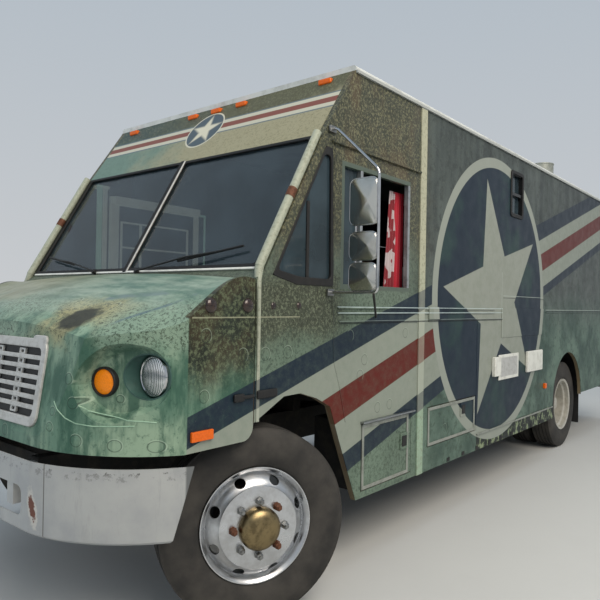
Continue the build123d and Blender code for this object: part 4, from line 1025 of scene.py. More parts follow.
def lathe(name: str, profile: Sequence[Sequence[float]], place: Matrix, material: bpy.types.Material,
          body: str, steps: int = 64, smooth: float = 35.0) -> bpy.types.Object:
    """Turn a profile, as (along, radius), round the local Z axis.

    Args:
        name: the piece's name.
        profile: points as (height along the axis, radius).
        place: matrix that sets the axis in the truck's own frame.
        material: finish.
        body: the body it rides on.
        steps: number of facets round the axis.
        smooth: angle below which faces shade smooth, in degrees.

    Returns:
        The new object.
    """
    work = bmesh.new()
    rings = []
    for along, radius in profile:
        if radius < 1e-6:
            rings.append([work.verts.new(place @ Vector((0, 0, along)))] * steps)
            continue
        ring = []
        for i in range(steps):
            angle = 2 * math.pi * i / steps
            corner = Vector((radius * math.cos(angle), radius * math.sin(angle), along))
            ring.append(work.verts.new(place @ corner))
        rings.append(ring)
    for first, second in zip(rings, rings[1:]):
        for i in range(steps):
            j = (i + 1) % steps
            corners = []
            for vert in (first[i], first[j], second[j], second[i]):
                if vert not in corners:
                    corners.append(vert)
            if len(corners) > 2:
                work.faces.new(corners)
    return finish_mesh(name, work, material, body, 0.0, smooth)


def tube(name: str, points: Sequence[Point], radius: float, material: bpy.types.Material,
         body: str = "truck", closed: bool = False) -> bpy.types.Object:
    """Make a round bar along points.

    Args:
        name: the piece's name.
        points: the bar's centreline.
        radius: bar radius in metres.
        material: finish.
        body: the body it rides on.
        closed: whether the line joins its start.

    Returns:
        The new object.
    """
    line = bpy.data.curves.new(name, "CURVE")
    line.dimensions = "3D"
    line.bevel_depth = radius
    line.bevel_resolution = 3
    line.use_fill_caps = True
    spline = line.splines.new("POLY")
    spline.points.add(len(points) - 1)
    for target, point in zip(spline.points, points):
        target.co = (*point, 1)
        target.radius = 1
    spline.use_cyclic_u = closed
    spline.use_smooth = True
    piece = bpy.data.objects.new(name, line)
    bpy.context.scene.collection.objects.link(piece)
    line.materials.append(material)
    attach(piece, body)
    return piece


def rounded(corners: Sequence[Sequence[float]], radius: float, steps: int = 6) -> list[tuple[float, float]]:
    """Round the corners of a flat outline.

    Args:
        corners: the outline's corners in order.
        radius: about the arcs' radius.
        steps: segments of each arc.

    Returns:
        The rounded outline's points.
    """
    result = []
    count = len(corners)
    for i, corner in enumerate(corners):
        here = Vector(corner)
        before = (Vector(corners[i - 1]) - here)
        after = (Vector(corners[(i + 1) % count]) - here)
        reach = min(radius, before.length * 0.48, after.length * 0.48)
        start = here + before.normalized() * reach
        end = here + after.normalized() * reach
        for k in range(steps + 1):
            t = k / steps
            point = start * (1 - t) ** 2 + here * 2 * t * (1 - t) + end * t ** 2
            result.append((point.x, point.y))
    return result


def rectangle(low_a: float, high_a: float, low_b: float, high_b: float) -> list[tuple[float, float]]:
    """Return a rectangle's corners."""
    return [(low_a, low_b), (high_a, low_b), (high_a, high_b), (low_a, high_b)]


def plane_at(origin: Point, x_dir: Point, y_dir: Point) -> Matrix:
    """Set up a plane.

    Args:
        origin: its zero point.
        x_dir: its first direction.
        y_dir: its second direction.

    Returns:
        The plane's matrix.
    """
    a = Vector(x_dir).normalized()
    b = Vector(y_dir).normalized()
    n = a.cross(b)
    result = Matrix((a, b, n)).transposed().to_4x4()
    result.translation = Vector(origin)
    return result


def side_plane(x: float, sign: int = 1) -> Matrix:
    """Set up an upright plane along the truck, whose outlines are (y, z).

    Args:
        x: distance from the middle.
        sign: 1 for the left side, -1 for the right.

    Returns:
        The plane's matrix, its normal pointing outward.
    """
    if sign > 0:
        return plane_at((x, 0, 0), (0, 1, 0), (0, 0, 1))
    return Matrix(((0, 0, -1, -x), (1, 0, 0, 0), (0, 1, 0, 0), (0, 0, 0, 1)))


def mirrored(side: int, low: Point, high: Point) -> tuple[Point, Point]:
    """Return a block's two corners on the asked side, 1 for the left."""
    xs = sorted((side * low[0], side * high[0]))
    return (xs[0], *low[1:]), (xs[1], *high[1:])


# The truck's sub-assemblies


@dataclass
class Wheels:
    """Tyres with tread, dished rims, nuts and caps."""

    finishes: Palette
    front_axle_y: float = -3.257
    rear_axle_y: float = 1.942
    hub_z: float = 0.5
    kingpin_x: float = 0.9
    front_reach: float = 0.24
    outer_x: float = 1.023
    inner_x: float = 0.743
    rear_disc_x: float = 0.883
    steer: float = math.radians(-27.3)
    nut_circle: float = 0.1375
    front_disc: float = 0.140
    rear_disc: float = 0.014
    hand_holes: int = 8
    hand_hole_reach: float = 0.236
    hand_hole_radius: float = 0.0295
    tyre_radius: float = 0.5
    half_width: float = 0.12
    bead: float = 0.299
    groove_depth: float = 0.012
    ribs: tuple = ((-0.098, -0.062), (-0.052, -0.024), (-0.015, 0.015), (0.024, 0.052), (0.062, 0.098))

    @staticmethod
    def axle(centre: Point, turn: float) -> Matrix:
        """Return the wheel's matrix, with local Z along its axle, outward."""
        level = Matrix.Rotation(math.pi / 2, 4, "Y")
        return Matrix.Translation(centre) @ Matrix.Rotation(turn, 4, "Z") @ level

    def tyre(self, name: str, centre: Point, turn: float, body: str) -> bpy.types.Object:
        """Make one tyre with grooves round it.

        Args:
            name: the piece's name.
            centre: the wheel's middle.
            turn: turn about Z, in radians.
            body: the body it rides on.

        Returns:
            The tyre.
        """
        top = self.tyre_radius - 0.0005
        half = self.half_width - 0.001
        profile = [(-0.098, self.bead + 0.002), (-0.108, self.bead + 0.012),
                   (-half + 0.004, self.bead + 0.05), (-half, self.bead + 0.09),
                   (-half + 0.006, top - 0.06), (-0.106, top - 0.022)]
        for low, high in self.ribs:
            crown = 0.35 * max(abs(low), abs(high)) ** 2
            profile += [(low, top - self.groove_depth), (low, top - crown), (high, top - crown),
                        (high, top - self.groove_depth)]
        profile += [(0.106, top - 0.022), (half - 0.006, top - 0.06), (half, self.bead + 0.09),
                    (half - 0.004, self.bead + 0.05), (0.108, self.bead + 0.012), (0.098, self.bead + 0.002)]
        place = self.axle(centre, turn)
        return lathe(name, profile, place, self.finishes["tyre"], body, 96, 40)

    def rim(self, name: str, centre: Point, turn: float, body: str) -> bpy.types.Object:
        """Make a dished rim with eight round hand holes in its sloping shoulder.

        Args:
            name: the piece's name.
            centre: the wheel's middle.
            turn: turn about Z, in radians.
            body: the body it rides on.

        Returns:
            The rim.
        """
        place = self.axle(centre, turn)
        profile = [
            (0.110, 0.2985), (0.1095, 0.2935), (0.104, 0.288), (0.098, 0.2795), (0.090, 0.2745),
            (0.075, 0.272), (0.070, 0.268), (0.078, 0.262), (0.103, 0.2485), (0.122, 0.2275),
            (0.1315, 0.213), (0.1385, 0.2085), (0.1398, 0.204), (0.1398, 0.102), (0.128, 0.102),
            (0.128, 0.198), (0.110, 0.222), (0.092, 0.241), (0.062, 0.258), (0.048, 0.2495),
            (-0.048, 0.2495), (-0.06, 0.271), (-0.104, 0.273), (-0.11, 0.2985), (-0.098, 0.2985),
            (-0.096, 0.287), (-0.06, 0.2845), (-0.042, 0.2625), (0.042, 0.2625), (0.06, 0.2845),
            (0.096, 0.287), (0.098, 0.2985), (0.110, 0.2985),
        ]
        piece = lathe(name, profile, place, self.finishes["rim"], body, 96, 28)
        shell = bmesh.new()
        shell.from_mesh(piece.data)
        bmesh.ops.remove_doubles(shell, verts=shell.verts, dist=1e-5)
        bmesh.ops.recalc_face_normals(shell, faces=shell.faces)
        shell.to_mesh(piece.data)
        shell.free()
        work = bmesh.new()
        for i in range(self.hand_holes):
            angle = 2 * math.pi * (i + 0.5) / self.hand_holes
            lean = (Matrix.Rotation(angle, 4, "Z") @ Matrix.Translation((self.hand_hole_reach, 0, 0.10))
                    @ Matrix.Rotation(0.62, 4, "Y"))
            bmesh.ops.create_cone(work, cap_ends=True, segments=28, radius1=self.hand_hole_radius,
                                  radius2=self.hand_hole_radius, depth=0.09, matrix=place @ lean)
        mesh = bpy.data.meshes.new("holes")
        work.to_mesh(mesh)
        work.free()
        cutter = bpy.data.objects.new("holes", mesh)
        bpy.context.scene.collection.objects.link(cutter)
        cut = piece.modifiers.new("holes", "BOOLEAN")
        cut.operation = "DIFFERENCE"
        cut.solver = "EXACT"
        cut.object = cutter
        ready = bpy.data.meshes.new_from_object(piece.evaluated_get(bpy.context.evaluated_depsgraph_get()))
        piece.modifiers.clear()
        piece.data = ready
        ready.set_sharp_from_angle(angle=math.radians(28))
        bpy.data.objects.remove(cutter)
        plate = [(0.1285, 0.0), (0.1285, 0.104), (0.139, 0.104), (0.139, 0.0)]
        lathe(name + "_hub", plate, place, self.finishes["rim"], body, 64, 30)
        lathe(name + "_drum", [(0.03, 0.0), (0.03, 0.205), (-0.09, 0.205), (-0.09, 0.0)], place,
              self.finishes["iron"], body, 48, 30)
        return piece

    def nuts(self, name: str, centre: Point, turn: float, face: float, body: str,
             rusty: Sequence[int]) -> None:
        """Set eight capped nuts on one disc face, some of them rusty.

        Args:
            name: the piece's name.
            centre: the wheel's middle.
            turn: turn about Z, in radians.
            face: height of the disc's face along the axle.
            body: the body it rides on.
            rusty: numbers of the rusty nuts.
        """
        base = self.axle(centre, turn)
        for i in range(8):
            angle = 2 * math.pi * i / 8
            reach = Vector((math.cos(angle), math.sin(angle), 0)) * self.nut_circle
            place = base @ Matrix.Translation((reach.x, reach.y, face))
            finish = self.finishes["rust" if i in rusty else "steel"]
            nut = [(0.0, 0.0), (0.0, 0.0225), (0.005, 0.0225), (0.006, 0.0185), (0.0335, 0.0182),
                   (0.0395, 0.012), (0.04, 0.0)]
            lathe(f"{name}_nut_{i}", nut, place, finish, body, 6, 20)
            lathe(f"{name}_stud_{i}", [(0.03, 0.009), (0.047, 0.009), (0.048, 0.0)], place, finish, body, 10)

    def cap(self, name: str, centre: Point, turn: float, face: float, body: str) -> None:
        """Set a domed brass cap over the hub.

        Args:
            name: the piece's name.
            centre: the wheel's middle.
            turn: turn about Z, in radians.
            face: height of the disc's face along the axle.
            body: the body it rides on.
        """
        place = self.axle(centre, turn)
        dome = [(face - 0.001, 0.108), (face + 0.03, 0.108), (face + 0.052, 0.094), (face + 0.063, 0.064),
                (face + 0.0675, 0.03), (face + 0.068, 0.0)]
        lathe(name, dome, place, self.finishes["brass"], body, 64, 50)

    def build(self) -> None:
        """Make every wheel's details."""
        for side, name in ((1, "left"), (-1, "right")):
            turn = self.steer if side > 0 else self.steer + math.pi
            out = Vector((math.cos(turn), math.sin(turn), 0))
            centre = Vector((side * self.kingpin_x, self.front_axle_y, self.hub_z)) + out * self.front_reach
            body = "wheel_front_" + name
            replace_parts(self.tyre("road_tyre_front_" + name, centre, turn, body), "front_tyre_" + name)
            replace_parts(self.rim("rim_front_" + name, centre, turn, body), "front_wheel_" + name)
            self.nuts("front_" + name, centre, turn, self.front_disc, body, (1, 3, 6))
            self.cap("hub_cap_front_" + name, centre, turn, self.front_disc, body)
            body = "wheels_rear_" + name
            turn = 0.0 if side > 0 else math.pi
            places = (self.outer_x, self.inner_x, self.rear_disc_x)
            outer_at, inner_at, disc_at = [(side * x, self.rear_axle_y, self.hub_z) for x in places]
            outer = self.tyre("road_tyre_outer_" + name, outer_at, turn, body)
            self.tyre("road_tyre_inner_" + name, inner_at, turn, body)
            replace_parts(outer, "rear_tyres_" + name)
            self.nuts("rear_" + name, disc_at, turn, self.rear_disc, body, (2,))


@dataclass
class Glazing:
    """Gaskets, divider and wipers of the windscreen and the side windows."""

    finishes: Palette
    foot: tuple[float, float] = (-3.397, 1.818)
    head: tuple[float, float] = (-2.928, 2.618)
    screen_half: float = 1.168
    quarter: tuple = ((-3.340, 1.790), (-3.141, 1.745), (-2.806, 1.745), (-2.830, 2.555), (-2.895, 2.560))
    quarter_rim: float = 0.05
    tail_line: tuple = (
        (1.1965, -3.4145, 1.835), (1.2, -3.425, 1.80), (1.209, -3.4375, 1.765), (1.219, -3.4435, 1.735),
        (1.2235, -3.4445, 1.70), (1.2245, -3.4445, 1.62), (1.2245, -3.4445, 1.30),
    )
    tail_radius: float = 0.0235
    tail_taper: tuple = (1.0, 0.98, 0.8, 0.62, 0.5, 0.42, 0.3)

    def screen_plane(self) -> Matrix:
        """Return the windscreen's plane: x across, y up the slope from its foot."""
        up = (0, self.head[0] - self.foot[0], self.head[1] - self.foot[1])
        return plane_at((0, *self.foot), (1, 0, 0), up)

    def build(self) -> None:
        """Make the gaskets and the divider."""
        rise = math.hypot(self.head[0] - self.foot[0], self.head[1] - self.foot[1])
        place = self.screen_plane()
        for side, name in ((1, "left"), (-1, "right")):
            inner, outer = sorted((side * 0.012, side * self.screen_half))
            frame_line = rounded(rectangle(inner, outer, 0.002, rise), 0.02)
            near, far = (0.012, 0.03) if side > 0 else (0.03, 0.012)
            hole = rounded(rectangle(inner + near, outer - far, 0.034, rise - 0.022), 0.03)
            extruded("screen_gasket_" + name, frame_line, place @ Matrix.Translation((0, 0, -0.004)), 0.012,
                     self.finishes["black"], bevel=0.003, hole=hole)
        extruded("screen_divider", rectangle(-0.02, 0.012, 0.0, rise),
                 place @ Matrix.Translation((0, 0, 0.004)), 0.012, self.finishes["black"], bevel=0.005)
        extruded("screen_divider_edge", rectangle(0.012, 0.024, 0.0, rise),
                 place @ Matrix.Translation((0, 0, 0.002)), 0.012, self.finishes["silver"], bevel=0.004)
        for side, name in ((1, "left"), (-1, "right")):
            middle = Vector((-3.0, 2.05))
            rim = self.quarter_rim
            inner = [tuple(Vector(p) + (middle - Vector(p)).normalized() * rim) for p in self.quarter]
            outline = rounded(self.quarter, 0.02, 3)
            hole = rounded(inner, 0.03, 3)
            extruded("quarter_gasket_" + name, outline, side_plane(SIDE_X - 0.012, side), 0.016,
                     self.finishes["black"], bevel=0.004, hole=hole)
            extruded("quarter_bar_" + name, rectangle(-3.052, -3.028, 1.76, 2.22),
                     side_plane(SIDE_X - 0.02, side), 0.014, self.finishes["black"])
        outline = rounded(rectangle(-0.036, 0.291, 2.494, 2.936), 0.045)
        hole = rounded(rectangle(-0.004, 0.259, 2.526, 2.904), 0.03)
        extruded("small_window_gasket", outline, side_plane(SIDE_X - 0.001), 0.012, self.finishes["black"],
                 bevel=0.004, hole=hole)
        extruded("screen_sill", rectangle(-1.15, 1.15, -0.004, 0.010), place,
                 0.0115, self.finishes["white"], bevel=0.003)
        for side, name in ((1, "left"), (-1, "right")):
            tail = tube("pillar_tail_" + name, [(side * a, b, c) for a, b, c in self.tail_line],
                        self.tail_radius, self.finishes["trim"])
            for point, size in zip(tail.data.splines[0].points, self.tail_taper):
                point.radius = size
        self.wipers()

    def wipers(self) -> None:
        """Make two wiper arms with their blades, lying on the screen."""
        place = self.screen_plane()
        for name, pivot, tip in (
            ("right", (-0.335, 0.004), (-1.050, 0.145)), ("left", (0.152, -0.01), (1.004, 0.140)),
        ):
            pieces = []
            start = Vector((*pivot, 0.034))
            end = Vector((*tip, 0.026))
            middle = start.lerp(end, 0.5) + Vector((0, 0.012, 0.006))
            pieces.append(tube("wiper_arm_" + name,
                               [place @ start, place @ middle, place @ start.lerp(end, 0.78)],
                               0.006, self.finishes["plastic"]))
            blade = [place @ (start.lerp(end, t) + Vector((0, 0.004, -0.006))) for t in (0.42, 0.7, 1.0)]
            pieces.append(tube("wiper_blade_" + name, blade, 0.007, self.finishes["black"]))
            boss_at = place @ Matrix.Translation((pivot[0], pivot[1], 0.004))
            lathe("wiper_boss_" + name, [(0.0, 0.016), (0.03, 0.015), (0.034, 0.0)], boss_at,
                  self.finishes["plastic"], "truck", 16)
            if name == "left":
                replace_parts(pieces[0], "wipers")


@dataclass
class Nose:
    """Lamps, slats, catches and mouldings of the tilting nose."""

    finishes: Palette
    head_x: float = 1.092
    head_z: float = 1.3
    head_y: float = -3.975
    turn_lamp: tuple = (0.907, -4.122, 1.27)
    turn_angle: float = math.radians(16)
    grille_rake: float = math.radians(8.5)
    grille_middle: float = 0.245
    grille_half: float = 0.5995
    grille_tall: float = 0.2095
    grille_border: float = 0.045
    slats: int = 6
    columns: tuple = (-0.3525, -0.1175, 0.1175, 0.3525)
    ridges: tuple = (
        ((0.72, 1.175), (0.74, 1.156), (0.762, 1.137), (0.80, 1.108), (0.856, 1.087), (0.931, 1.080),
         (1.05, 1.084), (1.195, 1.092)),
        ((0.868, 1.167), (0.893, 1.144), (0.94, 1.122), (1.02, 1.113), (1.11, 1.107), (1.165, 1.099),
         (1.198, 1.095)),
    )
    discs: tuple = ((-3.767, 1.626), (-3.519, 1.628))
    plugs: tuple = ((-3.329, 1.628), (-3.119, 1.63))

    def front(self, x: float, y: float, z: float) -> Matrix:
        """Return a plane at a point, facing forward."""
        return plane_at((x, y, z), (1, 0, 0), (0, 0, 1))

    def lamps(self) -> None:
        """Make the headlamps, the turn lamps and the side markers."""
        for side, name in ((1, "left"), (-1, "right")):
            x = side * self.head_x
            place = self.front(x, self.head_y, self.head_z)
            bowl = [(0.004, 0.0), (0.005, 0.02), (0.008, 0.045), (0.013, 0.07), (0.018, 0.086)]
            lathe("headlamp_bowl_" + name, bowl, place, self.finishes["reflector"], "nose", 64)
            lens = [(0.019, 0.0865), (0.026, 0.075), (0.031, 0.05), (0.034, 0.022), (0.0345, 0.0)]
            lathe("headlamp_lens_" + name, lens, place, self.finishes["fluted"], "nose", 64)
            rim = [(0.0, 0.0935), (0.014, 0.0935), (0.022, 0.0925), (0.023, 0.089), (0.02, 0.0865),
                   (0.012, 0.0865)]
            piece = lathe("headlamp_rim_" + name, rim, place, self.finishes["chrome"], "nose", 64)
            if side > 0:
                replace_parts(piece, "front_lamps")
            bulb = [(0.008, 0.011), (0.022, 0.011), (0.026, 0.0)]
            lathe("headlamp_bulb_" + name, bulb, place, self.finishes["chrome"], "nose", 24)
            back = [(-0.003, 0.0), (-0.003, 0.1052), (0.004, 0.1052), (0.004, 0.0)]
            lathe("headlamp_back_" + name, back, place, self.finishes["nose_inner"], "nose", 64)
            self.bucket(side, name)
            out = Vector((side * math.sin(self.turn_angle), -math.cos(self.turn_angle), 0))
            x, y, z = self.turn_lamp
            turn_place = plane_at((side * x, y, z), tuple(Vector((0, 0, 1)).cross(out)), (0, 0, 1))
            rim = [(-0.025, 0.069), (0.011, 0.069), (0.014, 0.066), (0.013, 0.059), (0.006, 0.0575)]
            lathe("turn_rim_" + name, rim, turn_place, self.finishes["black"], "nose", 48)
            lens = [(0.005, 0.058), (0.009, 0.053), (0.012, 0.03), (0.0125, 0.0)]
            lathe("turn_lens_" + name, lens, turn_place, self.finishes["amber"], "nose", 48)
            back = [(-0.025, 0.0), (-0.025, 0.069)]
            lathe("turn_back_" + name, back, turn_place, self.finishes["black"], "nose", 48)

    def bucket(self, side: int, name: str) -> None:
        """Make the lamp's tube from its back to the slanted floor of the pod.

        Args:
            side: 1 for the left, -1 for the right.
            name: left or right.
        """
        work = bmesh.new()
        steps = 96
        rows = []
        for radius, front in ((0.1055, False), (0.1055, True), (0.1, True), (0.1, False)):
            ring = []
            for i in range(steps):
                angle = 2 * math.pi * i / steps
                x = self.head_x + radius * math.cos(angle)
                y = self.head_y - 0.001
                if front:
                    y = min(y, -4.081 + 0.5317 * (x - 0.985))
                ring.append(work.verts.new((side * x, y, self.head_z + radius * math.sin(angle))))
            rows.append(ring)
        for first, second in zip(rows, rows[1:]):
            for i in range(steps):
                j = (i + 1) % steps
                work.faces.new((first[i], first[j], second[j], second[i]))
        finish_mesh("headlamp_tube_" + name, work, self.finishes["nose_inner"], "nose", 0.0, 40)

    def mouldings(self) -> None:
        """Lay the two thin curved ridges under each lamp pod on the nose's own surface, in paler paint as a
        painted highlight.
        """
        hood = frame["nodes"]["hood"]
        skin = BVHTree.FromPolygons([v.co for v in hood.data.vertices],
                                    [p.vertices for p in hood.data.polygons])
        for side, name in ((1, "left"), (-1, "right")):
            for i, curve in enumerate(self.ridges):
                points = []
                for (x0, z0), (x1, z1) in zip(curve, curve[1:]):
                    for step in range(4):
                        t = step / 4
                        x, z = x0 + (x1 - x0) * t, z0 + (z1 - z0) * t
                        hit = skin.ray_cast(Vector((side * x, -5.0, z)), Vector((0, 1, 0)))[0]
                        if hit is None:
                            continue
                        last = points[-1] if points else hit
                        if abs(hit.y - last[1]) < 0.005 + 0.8 * math.hypot(hit.x - last[0], hit.z - last[2]):
                            points.append((hit.x, hit.y + 0.001, hit.z))
                tube(f"nose_ridge_{name}_{i}", points, 0.0032, self.finishes["ridge"], "nose")

    def grille(self) -> None:
        """Make the slatted grille in its rounded surround."""
        rake = self.grille_rake
        place = plane_at((0, -4.29, 1.0), (1, 0, 0), (0, math.sin(rake), math.cos(rake)))
        middle, half = self.grille_middle, self.grille_half
        tall, border = self.grille_tall, self.grille_border
        outline = rounded(rectangle(-half, half, middle - tall, middle + tall), 0.07)
        inner = rectangle(-half + border, half - border, middle - tall + border, middle + tall - border)
        hole = rounded(inner, 0.035)
        silver = self.finishes["silver"]
        ring = extruded("grille_surround", outline, place @ Matrix.Translation((0, 0, -0.012)), 0.024,
                        silver, "nose", 0.006, hole)
        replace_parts(ring, "grille")
        for side in (1, -1):
            low, high = sorted((side * 0.455, side * (half - 0.012)))
            ear = rounded(rectangle(low, high, middle + tall - 0.04, middle + tall + 0.017), 0.03)
            name = "grille_ear_" + ("left" if side > 0 else "right")
            extruded(name, ear, place @ Matrix.Translation((0, 0, -0.0118)), 0.0232, silver, "nose", 0.006)
        pitch = (2 * tall - 2 * border) / (self.slats + 1)
        for i in range(self.slats):
            height = middle - tall + border + pitch * (i + 1)
            extruded(f"grille_slat_{i}", rectangle(-half + 0.04, half - 0.04, height - 0.011, height + 0.011),
                     place @ Matrix.Translation((0, 0, -0.008)), 0.018, silver, "nose", 0.004)
        for k, x in enumerate(self.columns):
            for i in range(self.slats + 1):
                height = middle - tall + border + pitch * (i + 0.5)
                block = rounded(rectangle(x - 0.03, x + 0.03, height - 0.017, height + 0.017), 0.006, 2)
                slot = rounded(rectangle(x - 0.014, x + 0.014, height - 0.007, height + 0.007), 0.003, 2)
                extruded(f"grille_block_{k}_{i}", block, place @ Matrix.Translation((0, 0, -0.010)), 0.012,
                         silver, "nose", 0.002, slot)
        back = rounded(rectangle(-half + 0.03, half - 0.03, middle - tall + 0.03, middle + tall - 0.03), 0.04)
        extruded("grille_mesh", back, place @ Matrix.Translation((0, 0, -0.0118)), 0.0012,
                 self.finishes["plastic"], "nose", 0.0)

    def side_details(self) -> None:
        """Make the discs, the marker and the rubber catch on each side of the nose."""
        for side, name in ((1, "left"), (-1, "right")):
            for i, (y, z) in enumerate(self.discs):
                place = side_plane(SIDE_X, side) @ Matrix.Translation((y, z, 0))
                disc = [(0.0, 0.037), (0.006, 0.035), (0.013, 0.026), (0.0175, 0.012), (0.018, 0.0)]
                lathe(f"bolt_disc_{name}_{i}", disc, place, self.finishes["dome"], "nose", 32, 60)
            for i, (y, z) in enumerate(self.plugs):
                place = side_plane(SIDE_X, side) @ Matrix.Translation((y, z, 0))
                plug = [(0.0, 0.019), (0.003, 0.018), (0.006, 0.009), (0.0065, 0.0)]
                lathe(f"plug_{name}_{i}", plug, place, self.finishes["dome"], "truck", 24, 60)
            slab("side_marker_" + name, *mirrored(side, (1.2202, -3.881, 1.0), (1.236, -3.748, 1.047)),
                 self.finishes["orange"], "nose", 0.004)
            slab("catch_front_" + name, *mirrored(side, (1.2202, -3.615, 1.152), (1.238, -3.545, 1.192)),
                 self.finishes["black"], "nose", 0.008)
            slab("catch_strap_" + name, *mirrored(side, (1.226, -3.56, 1.164), (1.24, -3.476, 1.182)),
                 self.finishes["black"], "nose", 0.006)
            slab("catch_rear_" + name, *mirrored(side, (1.2202, -3.452, 1.152), (1.238, -3.30, 1.196)),
                 self.finishes["black"], "truck", 0.008)

    def build(self) -> None:
        """Make the nose's details."""
        self.lamps()
        self.mouldings()
        self.grille()
        self.side_details()


@dataclass
class Mirrors:
    """Chrome mirror heads with faceted backs on their tube loops."""

    finishes: Palette
    heads: tuple = ((2.089, 2.352), (1.892, 2.049), (1.721, 1.875))
    low_x: float = 1.364
    high_x: float = 1.547
    y: float = -2.85

    def head(self, name: str, side: int, low_z: float, high_z: float) -> None:
        """Make one head: a tray whose back rises to one peak in four faces.

        Args:
            name: the piece's name.
            side: 1 for the left, -1 for the right.
            low_z: its foot.
            high_z: its top.
        """
        y = self.y
        outline = rounded(rectangle(self.low_x, self.high_x, low_z, high_z), 0.042, 5)
        peak = Vector((self.high_x - 0.045, low_z + (high_z - low_z) * 0.5))
        work = bmesh.new()
        rows = []
        for shrink, depth in ((0.0, 0.018), (0.0, -0.005), (0.05, -0.009), (0.93, -0.028)):
            ring = []
            for a, b in outline:
                p = Vector((a, b)).lerp(peak, shrink)
                ring.append(work.verts.new((side * p.x, y + depth, p.y)))
            rows.append(ring)
        for first, second in zip(rows, rows[1:]):
            for i in range(len(outline)):
                j = (i + 1) % len(outline)
                work.faces.new((first[i], first[j], second[j], second[i]))
        work.faces.new(rows[-1])
        work.faces.new(list(reversed(rows[0])))
        finish_mesh(name, work, self.finishes["satin"], "truck", 0.0, 24)
        rim = [(side * a, y - 0.003, b) for a, b in outline]
        tube(name + "_rim", rim, 0.0045, self.finishes["chrome"], closed=True)

    def build(self) -> None:
        """Make both mirrors."""
        for side, name in ((1, "left"), (-1, "right")):
            for i, (low_z, high_z) in enumerate(self.heads):
                self.head(f"mirror_{name}_{i}", side, low_z, high_z)
            y = self.y
            loop = rounded([(side * 1.22, 2.663), (side * 1.262, 2.663), (side * 1.555, 2.388),
                            (side * 1.555, 1.71), (side * 1.222, 1.71)], 0.03, 4)
            points = [(p[0], y, p[1]) for p in loop][5:-5]
            points = [(side * 1.222, y, 2.663), *points, (side * 1.222, y, 1.71)]
            arm = tube("mirror_arm_" + name, points, 0.0085, self.finishes["chrome"])
            if side > 0:
                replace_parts(arm, "mirrors")
            tube("mirror_link_" + name, [(side * 1.40, y + 0.006, 1.80), (side * 1.40, y + 0.006, 2.30)],
                 0.006, self.finishes["chrome"])
            tube("mirror_strut_" + name, [(side * 1.53, y, 1.708), (side * 1.228, -2.346, 1.564)], 0.007,
                 self.finishes["black"])
            for z in (2.663, 1.71):
                slab(f"mirror_foot_{name}_{z}".replace(".", "_"),
                     *mirrored(side, (1.2202, y - 0.03, z - 0.02), (1.24, y + 0.03, z + 0.02)),
                     self.finishes["steel"], "truck", 0.004)


